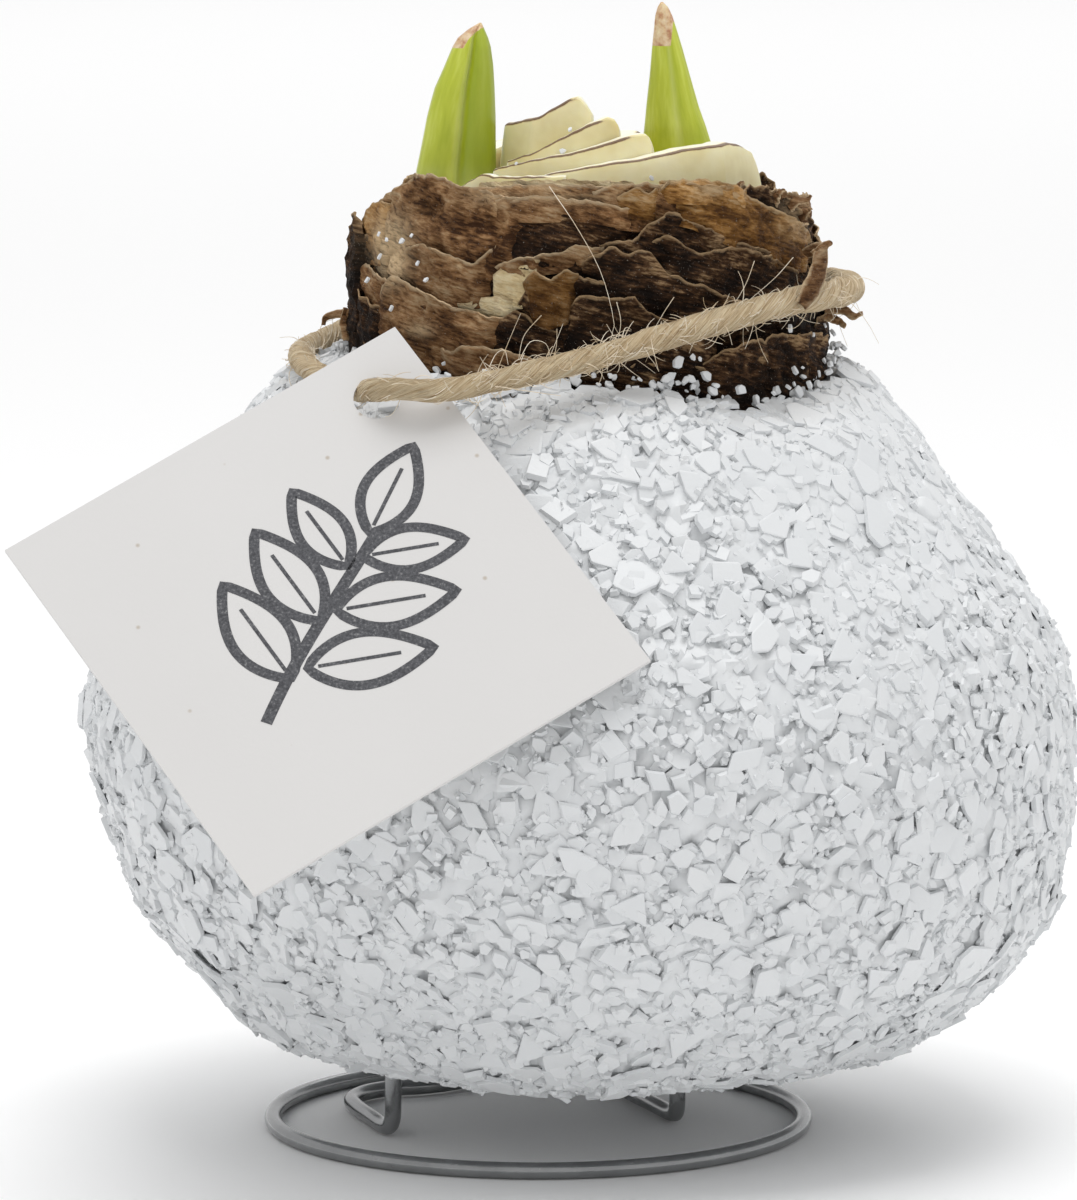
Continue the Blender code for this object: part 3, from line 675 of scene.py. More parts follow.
def stroke(points, width, closed):
    """A flat band of ink of even width along a drawn line, in the tag's frame."""
    pts = np.asarray(points, float)
    tangent = unit(np.roll(pts, -1, 0) - np.roll(pts, 1, 0) if closed else np.gradient(pts, axis=0))
    side = np.stack([-tangent[:, 1], tangent[:, 0]], 1) * width / 2
    n = len(pts)
    faces = [(i, (i + 1) % n, n + (i + 1) % n, n + i) for i in range(n if closed else n - 1)]
    return np.concatenate([pts - side, pts + side]), faces


def leaf_outline(base, direction, length, width):
    """Pointed oval leaf from its base, as a closed line."""
    d = unit(np.asarray(direction, float))
    t = np.linspace(0.0, 1.0, 26)[:, None]
    half = width * np.sin(math.pi * t ** 0.85) ** 0.9 * np.array([-d[1], d[0]])
    spine = base + t * length * d
    return np.concatenate([spine + half, (spine - half)[-2:0:-1]])


def print_sprig():
    """A plain leaf sprig drawn in dark grey on the card's face."""
    centre, up = np.array([-1.0, 2.9]), np.array([-0.55, 0.835])
    side = np.array([up[1], -up[0]])
    strokes = [([centre + up * s + side * 0.9 * math.sin(s * 0.11) for s in np.linspace(-18.5, 7.5, 34)], 1.3, False)]

    def leaf(foot, way, start, reach, width):
        strokes.append((leaf_outline(foot + way * start, way, reach, width), 1.15, True))
        strokes.append(([foot + way * (start + reach * q) for q in np.linspace(0.08, 0.74, 8)], 0.42, False))

    for s, reach in ((-12.0, 13.6), (-4.4, 13.0), (2.8, 11.0)):
        for hand in (-1, 1):
            leaf(centre + up * (s + 0.9 * hand), up * 0.55 + side * hand * 0.835, 0.7, reach, reach * 0.235)
    leaf(centre, up, 7.0, 11.6, 2.9)
    parts = []
    for number, line in enumerate(strokes):
        band, quads = stroke(*line)
        parts.append((np.column_stack([band, np.full(len(band), 0.275 + 0.004 * (number % 3))]), quads))
    points, faces = gather(parts)
    ob = mesh_piece("tag_print", on_tag(points), faces)
    for face in ob.data.polygons:
        if face.normal.dot(Vector(TAG_FRAME[:, 2])) < 0:
            face.flip()
    return adopt(ob, "tag_print", INK)


twine, route, twine_run, twine_size = lay_twine()
fuzz = twine_fuzz(route, twine_run, twine_size)
knot = tie_knot()
tag = cut_tag()
ink = print_sprig()


# Wax coat: lumpy base and the chips that stick to it

WAX_PROFILE = [
    (0.0, 89.6), (22.0, 89.8), (28.4, 89.6), (30.0, 89.0), (34.0, 86.0), (38.0, 81.0), (41.0, 76.0),
    (44.7, 71.0), (48.4, 66.0), (52.1, 61.0), (54.5, 56.0), (55.8, 51.0), (56.2, 46.0), (55.7, 41.0),
    (54.7, 36.0), (53.2, 31.0), (51.6, 26.0), (48.4, 22.0), (44.6, 18.0), (41.6, 14.4), (37.6, 11.8),
    (32.0, 10.4), (24.0, 9.7), (0.0, 9.6),
]
WAX_LEAN = [(6.0, 0.8), (20.0, 3.0), (35.0, 1.0), (50.0, -0.2), (92.0, -0.2)]
WAX_MIDDLE = 46.0
COLLAR_DROP = [(-180, 0.4), (-140, 0.6), (-110, 0.9), (-90, 1.2), (-70, 2.2), (-45, 4.0), (-22, 2.2), (0, 0.6),
    (180, 0.4)]


def ball_curve():
    """The ball's distance from its middle at each angle from the top, smoothed."""
    parts = np.arange(12 * len(WAX_PROFILE) - 11) / 12
    r, z = (np.interp(parts, np.arange(len(WAX_PROFILE)), column) for column in zip(*WAX_PROFILE))
    grid = np.linspace(0, math.pi, 721)
    smooth = np.interp(grid, np.arctan2(r, z - WAX_MIDDLE), np.hypot(r, z - WAX_MIDDLE))
    for _ in range(60):
        smooth[1:-1] = (smooth[:-2] + smooth[1:-1] * 2 + smooth[2:]) / 4
    return grid, smooth


BALL_ANGLE, BALL_REACH = ball_curve()


def on_ball(directions, offset=0.0):
    """Points of the wax ball in these directions, moved outwards by an offset, with the collar lowered."""
    d = unit(np.asarray(directions, float))
    angle = np.arctan2(np.hypot(d[:, 0], d[:, 1]), d[:, 2])
    p = d * (np.interp(angle, BALL_ANGLE, BALL_REACH) + offset)[:, None]
    p[:, 2] += WAX_MIDDLE
    bearing = np.degrees(np.arctan2(p[:, 1], p[:, 0]))
    near = smooth_step(40.0, 29.0, np.hypot(p[:, 0], p[:, 1])) * smooth_step(70.0, 80.0, p[:, 2])
    p[:, 2] -= read_table(COLLAR_DROP, bearing) * near
    p[:, 0] += read_table(WAX_LEAN, p[:, 2])
    return p


def ball_normals(directions):
    """Outward normals of the wax ball, from small steps on it."""
    d = np.asarray(directions, float)
    side = np.cross(d, (0.0, 0.0, 1.0))
    side /= np.maximum(np.linalg.norm(side, axis=1), 1e-6)[:, None]
    a, b = (on_ball(d + way * 0.02) - on_ball(d - way * 0.02) for way in (side, np.cross(side, d)))
    n = unit(np.cross(a, b))
    return n * np.sign(np.sum(n * d, axis=1))[:, None]


def softness(points):
    """How melted the chips are: most on the upper right shoulder, none low down."""
    high = smooth_step(55.0, 80.0, points[:, 2])
    right = smooth_step(5.0, 35.0, points[:, 0])
    return np.clip(high * (0.25 + 0.75 * right) + cloud(points, 0.06) * 0.5, 0.0, 1.0)


def swell(points):
    """Slow rise and fall of the coat."""
    return 0.8 * cloud(points, 0.12) + 0.45 * cloud(points, 0.3, (7.0, 3.0, 1.0))


def wax_base():
    """Spun shell broken into small tilted plates, smoother where the wax has melted, open for the neck."""
    rows, steps, plates = 142, 336, 7600
    angle = (math.pi - 0.0001 - (math.pi - 0.62) * np.arange(rows) / (rows - 1)).repeat(steps)
    turn = np.linspace(0.0, math.tau, steps, endpoint=False)
    around = np.tile(turn, rows)
    d = np.stack([np.sin(angle) * np.cos(around), np.sin(angle) * np.sin(around), np.cos(angle)], 1)
    p = on_ball(d)
    rng = np.random.default_rng(70)
    at = on_ball(spread(plates, 70, 0.9))
    tree = kdtree.KDTree(plates)
    for k, q in enumerate(at):
        tree.insert(q, k)
    tree.balance()
    near = [tree.find_n(q, 2) for q in p]
    cell = np.array([first[1] for first, second in near])
    gap = np.array([second[2] - first[2] for first, second in near])
    lift = rng.normal(0, 0.14, plates)
    slope = rng.normal(0, 0.22, (plates, 3))
    height = lift[cell] + np.sum(slope[cell] * (p - at[cell]), axis=1) - 0.18 * np.exp(-gap / 0.3)
    soft = softness(p)
    points = [p + d * (-0.1 + 0.1 * soft + height * (1.0 - 0.65 * soft) + swell(p))[:, None]]
    inside = [(27.6, 84.5), (27.4, 80.0), (30.5, 78.0), (42.0, 64.0), (48.0, 52.0), (48.0, 40.0), (40.0, 25.0),
              (24.0, 17.0), (0.0, 16.0)]
    for r, z in inside:
        points.append(np.stack([0.8 + r * np.cos(turn), r * np.sin(turn), np.full(steps, z)], 1))
    ob = mesh_piece("wax_shell", np.concatenate(points), ring_faces(rows + len(inside), steps))
    tone = np.full(len(ob.data.vertices), 0.5)
    tone[:len(cell)] = rng.uniform(0.25, 0.9, plates)[cell]
    mark(ob, tone=tone)
    outward(ob)
    return adopt(ob, "wax_shell", WAX, ["wax_coat"], 35)


def chip_shape(corners, bevel, seed, squeeze=1.0, taper=1.0, rounds=0):
    """One broken wax chip, from a flat outline drawn, raised and edge-softened in edit mode."""
    rng = random.Random(seed)
    choose()
    bpy.ops.mesh.primitive_circle_add(vertices=corners, radius=1.0, fill_type="NGON", location=(0, 0, 0))
    ob = bpy.context.object
    for k, v in enumerate(ob.data.vertices):
        a = math.tau * (k + rng.uniform(-0.28, 0.28)) / corners
        r = rng.uniform(0.66, 1.08)
        v.co = (r * math.cos(a), r * math.sin(a) * squeeze, rng.uniform(-0.04, 0.04))
    edit_all()
    bpy.ops.mesh.extrude_region_move(TRANSFORM_OT_translate={"value": (0, 0, 1.0)})
    bpy.ops.transform.resize(value=(taper, taper, 1.0))
    bpy.ops.mesh.select_all(action="SELECT")
    if bevel:
        bpy.ops.mesh.bevel(offset=bevel, segments=1, affect="EDGES")
        bpy.ops.mesh.select_all(action="SELECT")
    bpy.ops.mesh.normals_make_consistent(inside=False)
    if rounds:
        bpy.ops.object.mode_set(mode="OBJECT")
        ob.modifiers.new("rounded", "SUBSURF").levels = rounds
        apply_modifiers(ob)
        edit_all()
    bpy.ops.mesh.quads_convert_to_tris(quad_method="BEAUTY", ngon_method="BEAUTY")
    bpy.ops.object.mode_set(mode="OBJECT")
    points = np.array([v.co[:] for v in ob.data.vertices]) - (0.0, 0.0, 0.5)
    faces = np.array([f.vertices[:] for f in ob.data.polygons])
    bpy.data.objects.remove(ob, do_unlink=True)
    return points, faces


def chip_family(bevel, seed, taper, kinds):
    """A chip shape for each pair of a corner count and a squeeze."""
    return [chip_shape(corners, bevel, seed + k, squeeze, taper) for k, (corners, squeeze) in enumerate(kinds)]


def spread(count, seed, jitter=0.5):
    """Directions with about the same room each."""
    rng = np.random.default_rng(seed)
    i = np.arange(count) + 0.5
    z = 1.0 - 2.0 * i / count
    r = np.sqrt(1.0 - z * z)
    a = math.pi * (3.0 - math.sqrt(5.0)) * i
    d = np.stack([r * np.cos(a), r * np.sin(a), z], 1)
    return unit(d + rng.normal(0, 1, d.shape) * jitter * math.sqrt(math.pi / count))


def copy_chips(name, shapes, rng, centre, up, size, thickness):
    """A mesh of the chip shapes, each copied to its share of the places and turned at random round its up."""
    spin = rng.normal(0, 1, centre.shape)
    side = unit(spin - up * np.sum(spin * up, axis=1)[:, None])
    third = np.cross(up, side)
    pick = rng.integers(0, len(shapes), len(centre))
    tone = rng.beta(1.6, 1.6, len(centre))
    points, tris, tones, base = [], [], [], 0
    for number, (shape, faces) in enumerate(shapes):
        mine = np.nonzero(pick == number)[0]
        flat = shape[None] * size[mine][:, None, None]
        deep = shape[None, :, 2] * thickness[mine][:, None]
        world = (centre[mine][:, None] + flat[:, :, :1] * side[mine][:, None] + flat[:, :, 1:2] * third[mine][:, None]
                 + deep[:, :, None] * up[mine][:, None])
        points.append(world.reshape(-1, 3))
        tris.append((faces[None] + base + np.arange(len(mine))[:, None, None] * len(shape)).reshape(-1, 3))
        tones.append(np.repeat(tone[mine], len(shape)))
        base += len(mine) * len(shape)
    points, tris = np.concatenate(points), np.concatenate(tris).astype(np.int32)
    mesh = bpy.data.meshes.new(name)
    mesh.vertices.add(len(points))
    mesh.vertices.foreach_set("co", place(points).astype(np.float32).ravel())
    mesh.loops.add(tris.size)
    mesh.loops.foreach_set("vertex_index", tris.ravel())
    mesh.polygons.add(len(tris))
    mesh.polygons.foreach_set("loop_start", np.arange(0, tris.size, 3, np.int32))
    mesh.update(calc_edges=True)
    mesh.validate()
    mesh.shade_flat()
    ob = bpy.data.objects.new(name, mesh)
    scene.collection.objects.link(ob)
    mark(ob, tone=np.concatenate(tones))
    return ob


def scatter_chips(name, shapes, count, sizes, thickness, sink, tilt, loose, seed, patchy=False):
    """Chips all over the wax ball, each turned and tilted its own way; patchy ones lie in drifts."""
    rng = np.random.default_rng(seed)
    d = spread(count, seed)
    p = on_ball(d)
    n = ball_normals(d)
    keep = ~((p[:, 2] > 78.0) & (np.hypot(p[:, 0] - NECK_X, p[:, 1]) < 28.6))
    for x, y in PRONG_FEET:
        keep &= ~((np.hypot(p[:, 0] - x, p[:, 1] - y) < 2.4) & (p[:, 2] < 20.0))
    if patchy:
        drift = cloud(p, 0.22, (4.0, 9.0, 2.0))
        keep &= (drift > -0.16) & (rng.uniform(0, 1, count) > 0.6 * softness(p))
    p, n = p[keep], n[keep]
    soft = softness(p)
    firm = 1.0 - 0.6 * soft
    size = rng.uniform(*sizes, len(p)) * rng.uniform(0.7, 1.0, len(p))
    lean = rng.normal(0, 1, p.shape) * (tilt * firm)[:, None]
    up = unit(n + lean - n * np.sum(lean * n, axis=1)[:, None])
    lift = sink + rng.normal(0, 1, len(p)) * loose * firm - 0.15 * soft + swell(p)
    return copy_chips(name, shapes, rng, p + n * lift[:, None], up, size, rng.uniform(*thickness, len(p)))


def melted_plates():
    """Rounded, half-melted plates on the upper shoulder, and the big ones beside the neck."""
    rng = np.random.default_rng(77)
    d = spread(900, 77, 0.9)
    p = on_ball(d)
    keep = (softness(p) > 0.42) & (p[:, 2] < 83.0)
    d, p = d[keep], p[keep]
    n = ball_normals(d)
    big = np.array([(37.6, -3.0, 80.0), (33.4, -10.0, 82.0), (29.6, -16.0, 84.0), (39.6, -14.0, 74.5),
                    (44.0, -6.0, 70.0)])
    out = np.concatenate([p + n * (swell(p) - 0.15)[:, None], big])
    up = unit(np.concatenate([n + rng.normal(0, 0.1, n.shape), ball_normals(unit(big - (0.0, 0.0, WAX_MIDDLE)))]))
    size = np.concatenate([rng.uniform(1.6, 3.0, len(p)), (5.2, 4.2, 3.4, 3.6, 3.8)])
    shapes = [chip_shape(6 + k, 0.12, 90 + k, 0.62 + 0.08 * k, 0.8, 1) for k in range(3)]
    ob = copy_chips("wax_melted", shapes, rng, out, up, size, rng.uniform(0.7, 1.2, len(out)))
    return adopt(ob, "wax_melted", WAX, ["wax_coat"], 180)


wax_base()
PLATES = chip_family(0.07, 30, 1.0, [(5, 0.75), (6, 0.85), (5, 0.6), (4, 0.9), (6, 0.7), (4, 0.7), (5, 0.95),
                                     (3, 0.9)])
FLAKES = chip_family(0.0, 130, 0.82, [(5, 0.75), (6, 0.85), (5, 0.62), (4, 0.9), (5, 0.9), (4, 0.6), (6, 0.7)])
CRUMBS = chip_family(0.0, 60, 0.75, [(5, 0.85), (4, 0.9), (4, 0.45), (5, 0.75), (6, 0.9)])
# Piece, shapes, count, range of sizes and of thicknesses, sink, tilt, looseness, seed, patchy
for row in (("wax_chips_large", PLATES, 1700, (2.0, 3.9), (0.4, 0.75), 0.15, 0.12, 0.2, 71),
            ("wax_chips_medium", FLAKES, 5200, (1.4, 2.7), (0.35, 0.65), 0.05, 0.17, 0.22, 72),
            ("wax_chips_between", FLAKES, 5600, (1.1, 2.0), (0.35, 0.6), 0.05, 0.22, 0.22, 75),
            ("wax_chips_small", FLAKES, 11000, (0.6, 1.3), (0.35, 0.6), 0.05, 0.34, 0.2, 74, True),
            ("wax_crumbs", CRUMBS, 11200, (0.3, 0.65), (0.35, 0.7), 0.22, 0.6, 0.2, 73, True)):
    adopt(scatter_chips(*row), row[0], WAX, ["wax_coat"])
melted_plates()


# Neck of the bulb and its papery skins

NECK_SIDE = [(80.0, 26.9), (85.0, 26.6), (88.0, 26.2), (94.0, 25.9), (100.0, 25.5), (104.5, 25.0), (108.4, 24.2)]
CORE_TOP = 105.8
ARC = 0.46


def neck_core():
    """Body and neck, uneven, with a hollow cut top."""
    profile = [(0.0, 14.6), (24.0, 15.0), (38.0, 20.8), (48.0, 36.0), (49.6, 47.0), (47.4, 57.0), (42.0, 66.0),
               (30.0, 81.0)]
    profile += [(read_table(NECK_SIDE, z), z) for z in np.linspace(83.0, CORE_TOP, 34)]
    profile += [(23.6, 106.4), (22.6, 106.4), (21.8, 105.9), (20.8, 104.9), (12.0, 104.7), (0.0, 104.7)]
    steps = 240
    turn = np.linspace(0.0, math.tau, steps, endpoint=False)
    rows = []
    for r, z in profile:
        radius, high = np.full(steps, r), np.full(steps, z)
        if z > 82.0 and r > 20.0:
            radius += 0.55 * ring_noise(turn, 4, z * 0.22) + 0.4 * ring_noise(turn, 14, z * 0.5) - 0.35
            if z > CORE_TOP:
                high += 0.9 * ring_noise(turn, 5, 7.0)
        rows.append(np.stack([NECK_X + radius * np.cos(turn), radius * np.sin(turn), high], 1))
    points = np.concatenate(rows)
    ob = mesh_piece("bulb_neck", points, ring_faces(len(rows), steps))
    set_uv(ob, np.stack([np.abs(np.arctan2(points[:, 1], points[:, 0] - NECK_X)) * 26.0, points[:, 2]], 1))
    # edge=5.0 counts the core as far below any torn edge, so it takes the full painted recess shade.
    mark(ob, edge=5.0, tone=0.3, worn=0.0)
    outward(ob)
    return adopt(ob, "bulb_neck", DARK_SKIN, ["bulb"], 60)


# Worn pale spots on the skins: bearing, height, reach in degrees and millimetres, strength
WORN = [(-150, 103.2, 8.5, 2.7, 1.0), (-147, 99.8, 6.0, 1.9, 0.9), (-117, 108.6, 6.0, 0.9, 0.5),
    (-134, 93.6, 4.0, 0.7, 0.7),
        (-27, 105.0, 7.0, 1.8, 0.5), (-60, 109.2, 4.0, 0.8, 0.5), (-96, 108.6, 14.0, 0.7, 0.4)]


def worn_spots(bearing, z):
    total = np.zeros(len(z))
    for b, h, wide, high, strength in WORN:
        total += strength * np.exp(-((bearing - b) / wide) ** 2 - ((z - h) / high) ** 2)
    return np.minimum(total, 1.0)


def skin_sheet(name, foot, top, lift, flare, seed, tone, wave, ragged, notch):
    """A thin torn skin that hugs the neck; foot and top are lines of bearing and height."""
    start, end = top[0][0], top[-1][0]
    columns = max(14, int((end - start) * ARC / 0.36))
    choose()
    bpy.ops.mesh.primitive_grid_add(x_subdivisions=columns, y_subdivisions=18, size=2.0, location=(0, 0, 0))
    ob = bpy.context.object
    grid = np.array([v.co[:] for v in ob.data.vertices])
    u = (grid[:, 0] + 1) / 2
    t = 1.0 - (1.0 - (grid[:, 1] + 1) / 2) ** 1.6
    own = Vector((seed * 3.7, seed * 1.3, seed * 0.7))

    def rough(x, y, z):
        return noise.noise(Vector((x, y, z)) + own)

    bearing = (foot[0][0] + (foot[-1][0] - foot[0][0]) * u) * (1.0 - t) + (start + (end - start) * u) * t
    arc = bearing * ARC
    z_top = read_table(top, start + (end - start) * u)
    z_foot = read_table(foot, bearing)
    tear = np.array([noise.fractal(Vector((x * 0.9, 0.0, 0.0)) + own, 0.8, 2.2, 4) for x in arc])
    bite = np.array([rough(x * 0.42, 9.0, 0.0) for x in arc])
    z_top = z_top + ragged * tear - notch * 2.4 * np.maximum(bite - 0.22, 0.0)
    z = z_foot + (z_top - z_foot) * t
    ends = np.maximum(smooth_step(0.14, 0.0, u), smooth_step(0.86, 1.0, u))
    slant = arc + (z - 100.0) * 0.5
    ripple = 1.35 * np.array([rough(q * 0.20, h * 0.30, 0.0) + 0.5 * rough(q * 0.62, h * 0.85, 5.0)
                              - 0.9 * abs(rough(q * 0.45 + h * 0.2, h * 0.5, 7.0))
                              + 0.35 * rough(q * 1.3, h * 1.9, 9.0) for q, h in zip(slant, z)])
    curl = 0.6 + 0.8 * np.array([rough(q * 0.3, 4.0, 2.0) for q in arc])
    r = read_table(NECK_SIDE, z) + lift + wave * ripple + flare * curl * t ** 4 - 0.5 * (1.0 - t) ** 2
    set_points(ob, round_neck(bearing, r - 1.5 * ends * (1.0 - 0.3 * t), z))
    mark(ob, edge=(1.0 - t) * np.maximum(z_top - z_foot, 0.1), worn=worn_spots(bearing, z),
         tone=tone + 0.25 * np.array([rough(q * 0.22, h * 0.3, 2.0) for q, h in zip(arc, z)]))
    set_uv(ob, np.stack([arc + seed * 13.0, z + slant * 0.25], 1))
    thicken(ob, 0.15 * MM)
    ob.name = name
    return ob


# Foot line, top line (bearing, height), lift, flare, seed, tone, wave, raggedness, depth of the notches;
# front is -90, right 0, left 180
TAN_SHEETS = [
    ([(-158, 99.5), (-135, 98.8), (-118, 99.0), (-104, 101.0)],
     [(-156, 106.0), (-150, 108.4), (-146, 109.5), (-141, 110.6), (-135, 110.9), (-129, 110.1), (-122, 109.5),
      (-114, 108.8), (-104, 108.4)], 0.85, 0.3, 1, 0.5, 0.6, 0.3, 0.2),
    ([(-155, 91.0), (-143, 91.0), (-132, 89.0), (-110, 90.0)],
     [(-153, 95.8), (-150, 97.4), (-145, 99.3), (-137, 98.4), (-132, 97.7), (-127, 96.9), (-120, 96.1),
      (-110, 95.2)], 1.35, 0.5, 2, 0.42, 0.5, 0.3, 0.6),
    ([(-146, 97.5), (-130, 95.5), (-114, 96.5)],
     [(-146, 101.5), (-136, 103.2), (-126, 102.0), (-119, 101.2), (-114, 103.4)], 1.0, 0.4, 3, 0.35, 0.5, 0.3, 0.4),
    ([(-128, 106.6), (-106, 106.2), (-92, 106.4), (-72, 105.4)],
     [(-128, 109.2), (-116, 109.6), (-110, 109.9), (-101, 110.1), (-90, 110.0), (-80, 109.6), (-72, 108.6)],
     0.55, 0.1, 4, 0.75, 0.3, 0.25, 0.3),
    ([(-118, 106.0), (-104, 105.8), (-92, 106.0), (-76, 104.8)],
     [(-118, 108.4), (-108, 108.6), (-98, 108.9), (-88, 108.2), (-76, 107.0)], 0.95, 0.2, 5, 0.6, 0.3, 0.25, 0.5),
    ([(-116, 99.0), (-100, 100.2), (-84, 101.0)],
     [(-116, 100.6), (-108, 102.0), (-100, 102.4), (-94, 103.4), (-84, 103.2)], 0.5, 0.4, 6, 0.5, 0.3, 0.3, 0.6),
    ([(-92, 105.6), (-78, 104.8), (-62, 105.6)], [(-92, 109.0), (-84, 110.0), (-76, 110.3), (-68, 109.8),
     (-62, 108.6)],
     0.7, 0.5, 7, 0.7, 0.4, 0.3, 0.6),
    ([(-128, 88.0), (-112, 88.0), (-100, 88.5)], [(-128, 91.4), (-118, 92.4), (-110, 92.0), (-100, 91.0)],
     1.6, 0.5, 8, 0.3, 0.4, 0.3, 0.6),
    ([(-178, 98.0), (-152, 98.0)], [(-178, 103.0), (-170, 104.4), (-165, 106.0), (-160, 107.0), (-156, 107.8),
     (-152, 108.6)],
     0.45, 0.3, 9, 0.5, 0.4, 0.3, 0.4),
    ([(-50, 100.0), (-20, 100.0), (14, 99.0)], [(-50, 109.0), (-40, 109.2), (-28, 108.4), (-14, 107.6), (0, 107.2),
     (14, 106.4)],
     0.1, 0.5, 10, 0.3, 0.5, 0.5, 1.0),
]
DARK_SHEETS = [
    ([(-114, 101.0), (-98, 100.4), (-78, 97.0)], [(-114, 106.8), (-104, 108.0), (-95, 108.0), (-86, 106.8),
     (-78, 105.6)],
     0.45, 0.3, 21, 0.75, 0.4, 0.25, 0.3),
    ([(-108, 92.0), (-95, 92.2), (-78, 91.5)], [(-108, 97.0), (-105, 98.8), (-99, 99.9), (-93, 100.3), (-84, 99.3),
     (-78, 98.0)],
     0.95, 0.6, 22, 0.8, 0.4, 0.3, 0.8),
    ([(-118, 86.5), (-104, 86.0), (-78, 86.0)], [(-118, 93.0), (-108, 96.4), (-100, 94.2), (-90, 94.6), (-78, 93.0)],
     0.7, 0.4, 23, 0.35, 0.4, 0.3, 0.5),
    ([(-90, 96.0), (-70, 97.0), (-32, 96.0)],
     [(-90, 102.6), (-85, 104.0), (-80, 104.0), (-76, 105.5), (-71, 107.0), (-68, 107.0), (-62, 105.5), (-53, 103.6),
      (-39, 101.9), (-32, 100.6)], 0.7, 1.0, 24, 0.6, 0.4, 0.3, 0.5),
    ([(-76, 96.0), (-50, 95.0), (-24, 94.5)],
     [(-76, 103.4), (-71, 104.6), (-66, 103.2), (-62, 102.5), (-55, 103.0), (-49, 102.5), (-43, 101.8), (-30, 99.8),
      (-24, 98.4)], 1.15, 0.7, 25, 0.4, 0.4, 0.3, 0.5),
    ([(-92, 94.0), (-70, 93.5), (-48, 93.5)],
     [(-92, 101.6), (-86, 103.4), (-82, 102.7), (-76, 103.0), (-73, 101.0), (-71, 100.2), (-66, 99.7), (-59, 98.2),
      (-48, 96.0)], 1.5, 0.7, 26, 0.5, 0.4, 0.3, 0.5),
    ([(-98, 90.0), (-80, 89.6), (-58, 89.6)], [(-98, 96.6), (-92, 98.2), (-85, 97.8), (-80, 98.1), (-77, 96.3),
     (-74, 95.5),
                                             (-58, 93.8)], 1.75, 0.6, 27, 0.45, 0.4, 0.3, 0.5),
    ([(-70, 86.0), (-50, 83.5), (-30, 84.5), (-4, 87.5)],
     [(-70, 89.0), (-64, 90.2), (-57, 91.6), (-49, 92.6), (-38, 92.9), (-22, 92.4), (-13, 91.9), (-4, 90.0)],
     1.3, 0.5, 28, 0.8, 0.6, 0.35, 0.8),
    ([(-88, 84.5), (-74, 84.5), (-58, 84.0)], [(-88, 89.8), (-80, 90.6), (-70, 90.8), (-58, 89.0)],
     0.9, 0.5, 34, 0.5, 0.4, 0.3, 0.8),
    ([(-38, 91.0), (-14, 90.5), (10, 91.0)], [(-38, 99.0), (-24, 100.4), (-10, 101.6), (2, 102.6), (10, 101.0)],
     0.6, 0.7, 29, 0.35, 0.5, 0.4, 1.0),
    ([(-174, 92.2), (-163, 92.2)], [(-174, 102.6), (-170, 104.6), (-166, 105.7), (-163, 105.2)],
     2.0, 0.6, 30, 0.6, 0.5, 0.4, 0.6),
    # A near-black sheet standing for the shaded hollow beside the strip above: painted shade.
    ([(-166, 90.0), (-150, 90.0)], [(-166, 103.0), (-158, 103.6), (-150, 102.8)], 0.75, 0.2, 35, 0.1, 0.4, 0.4, 0.6),
    ([(-54, 103.0), (-30, 101.0), (-8, 100.0)], [(-54, 108.6), (-46, 109.4), (-38, 109.2), (-29, 108.3),
     (-24, 106.4), (-8, 104.0)],
     0.5, 0.6, 33, 0.45, 0.5, 0.5, 1.2),
]
AMBER_SHEETS = [
    ([(-73, 106.0), (-64, 105.0), (-54, 103.0), (-48, 101.8), (-40, 100.6), (-28, 99.4), (-17, 99.0)],
     [(-73, 109.2), (-70, 110.4), (-64, 110.0), (-50, 109.4), (-45, 108.0), (-38, 106.8), (-29, 105.1), (-20, 103.8),
      (-17, 102.8)], 1.45, 0.5, 41, 0.55, 0.45, 0.25, 0.3),
    ([(-72, 108.0), (-60, 107.6), (-46, 106.4)], [(-72, 110.2), (-66, 110.7), (-56, 110.2), (-46, 109.0)],
     1.9, -0.6, 42, 0.95, 0.3, 0.25, 0.6),
    ([(-84, 106.4), (-72, 106.0)], [(-84, 108.6), (-78, 109.8), (-72, 109.4)], 1.1, 0.3, 43, 0.6, 0.3, 0.25, 0.6),
    ([(-104.6, 95.2), (-100, 94.2), (-94.4, 95.0)], [(-106.2, 99.4), (-103.5, 100.6), (-99.0, 100.1), (-95.5, 101.0),
                                                     (-92.8, 100.2)], 1.9, 0.4, 45, 0.02, 0.5, 0.35, 0.8),
    ([(-168, 100.0), (-152, 100.0)], [(-168, 103.6), (-163, 106.2), (-158, 107.2), (-152, 106.8)],
     1.0, 0.4, 44, 0.7, 0.4, 0.3, 0.4),
]
PALE_SHEETS = [
    ([(-116, 96.0), (-101, 96.6)], [(-116, 99.4), (-111.5, 101.2), (-106, 101.8), (-101, 101.6)],
     0.35, 0.1, 51, 0.6, 0.15, 0.2, 0.3),
    ([(-126, 95.4), (-108, 95.0)], [(-126, 96.6), (-119, 97.3), (-112, 97.8), (-108, 97.2)],
     0.5, 0.1, 52, 0.5, 0.15, 0.2, 0.3),
    ([(-122, 107.0), (-100, 107.4), (-78, 107.0)], [(-122, 109.8), (-110, 110.4), (-96, 110.5), (-78, 110.2)],
     0.1, -0.3, 54, 0.45, 0.25, 0.2, 0.2),
]


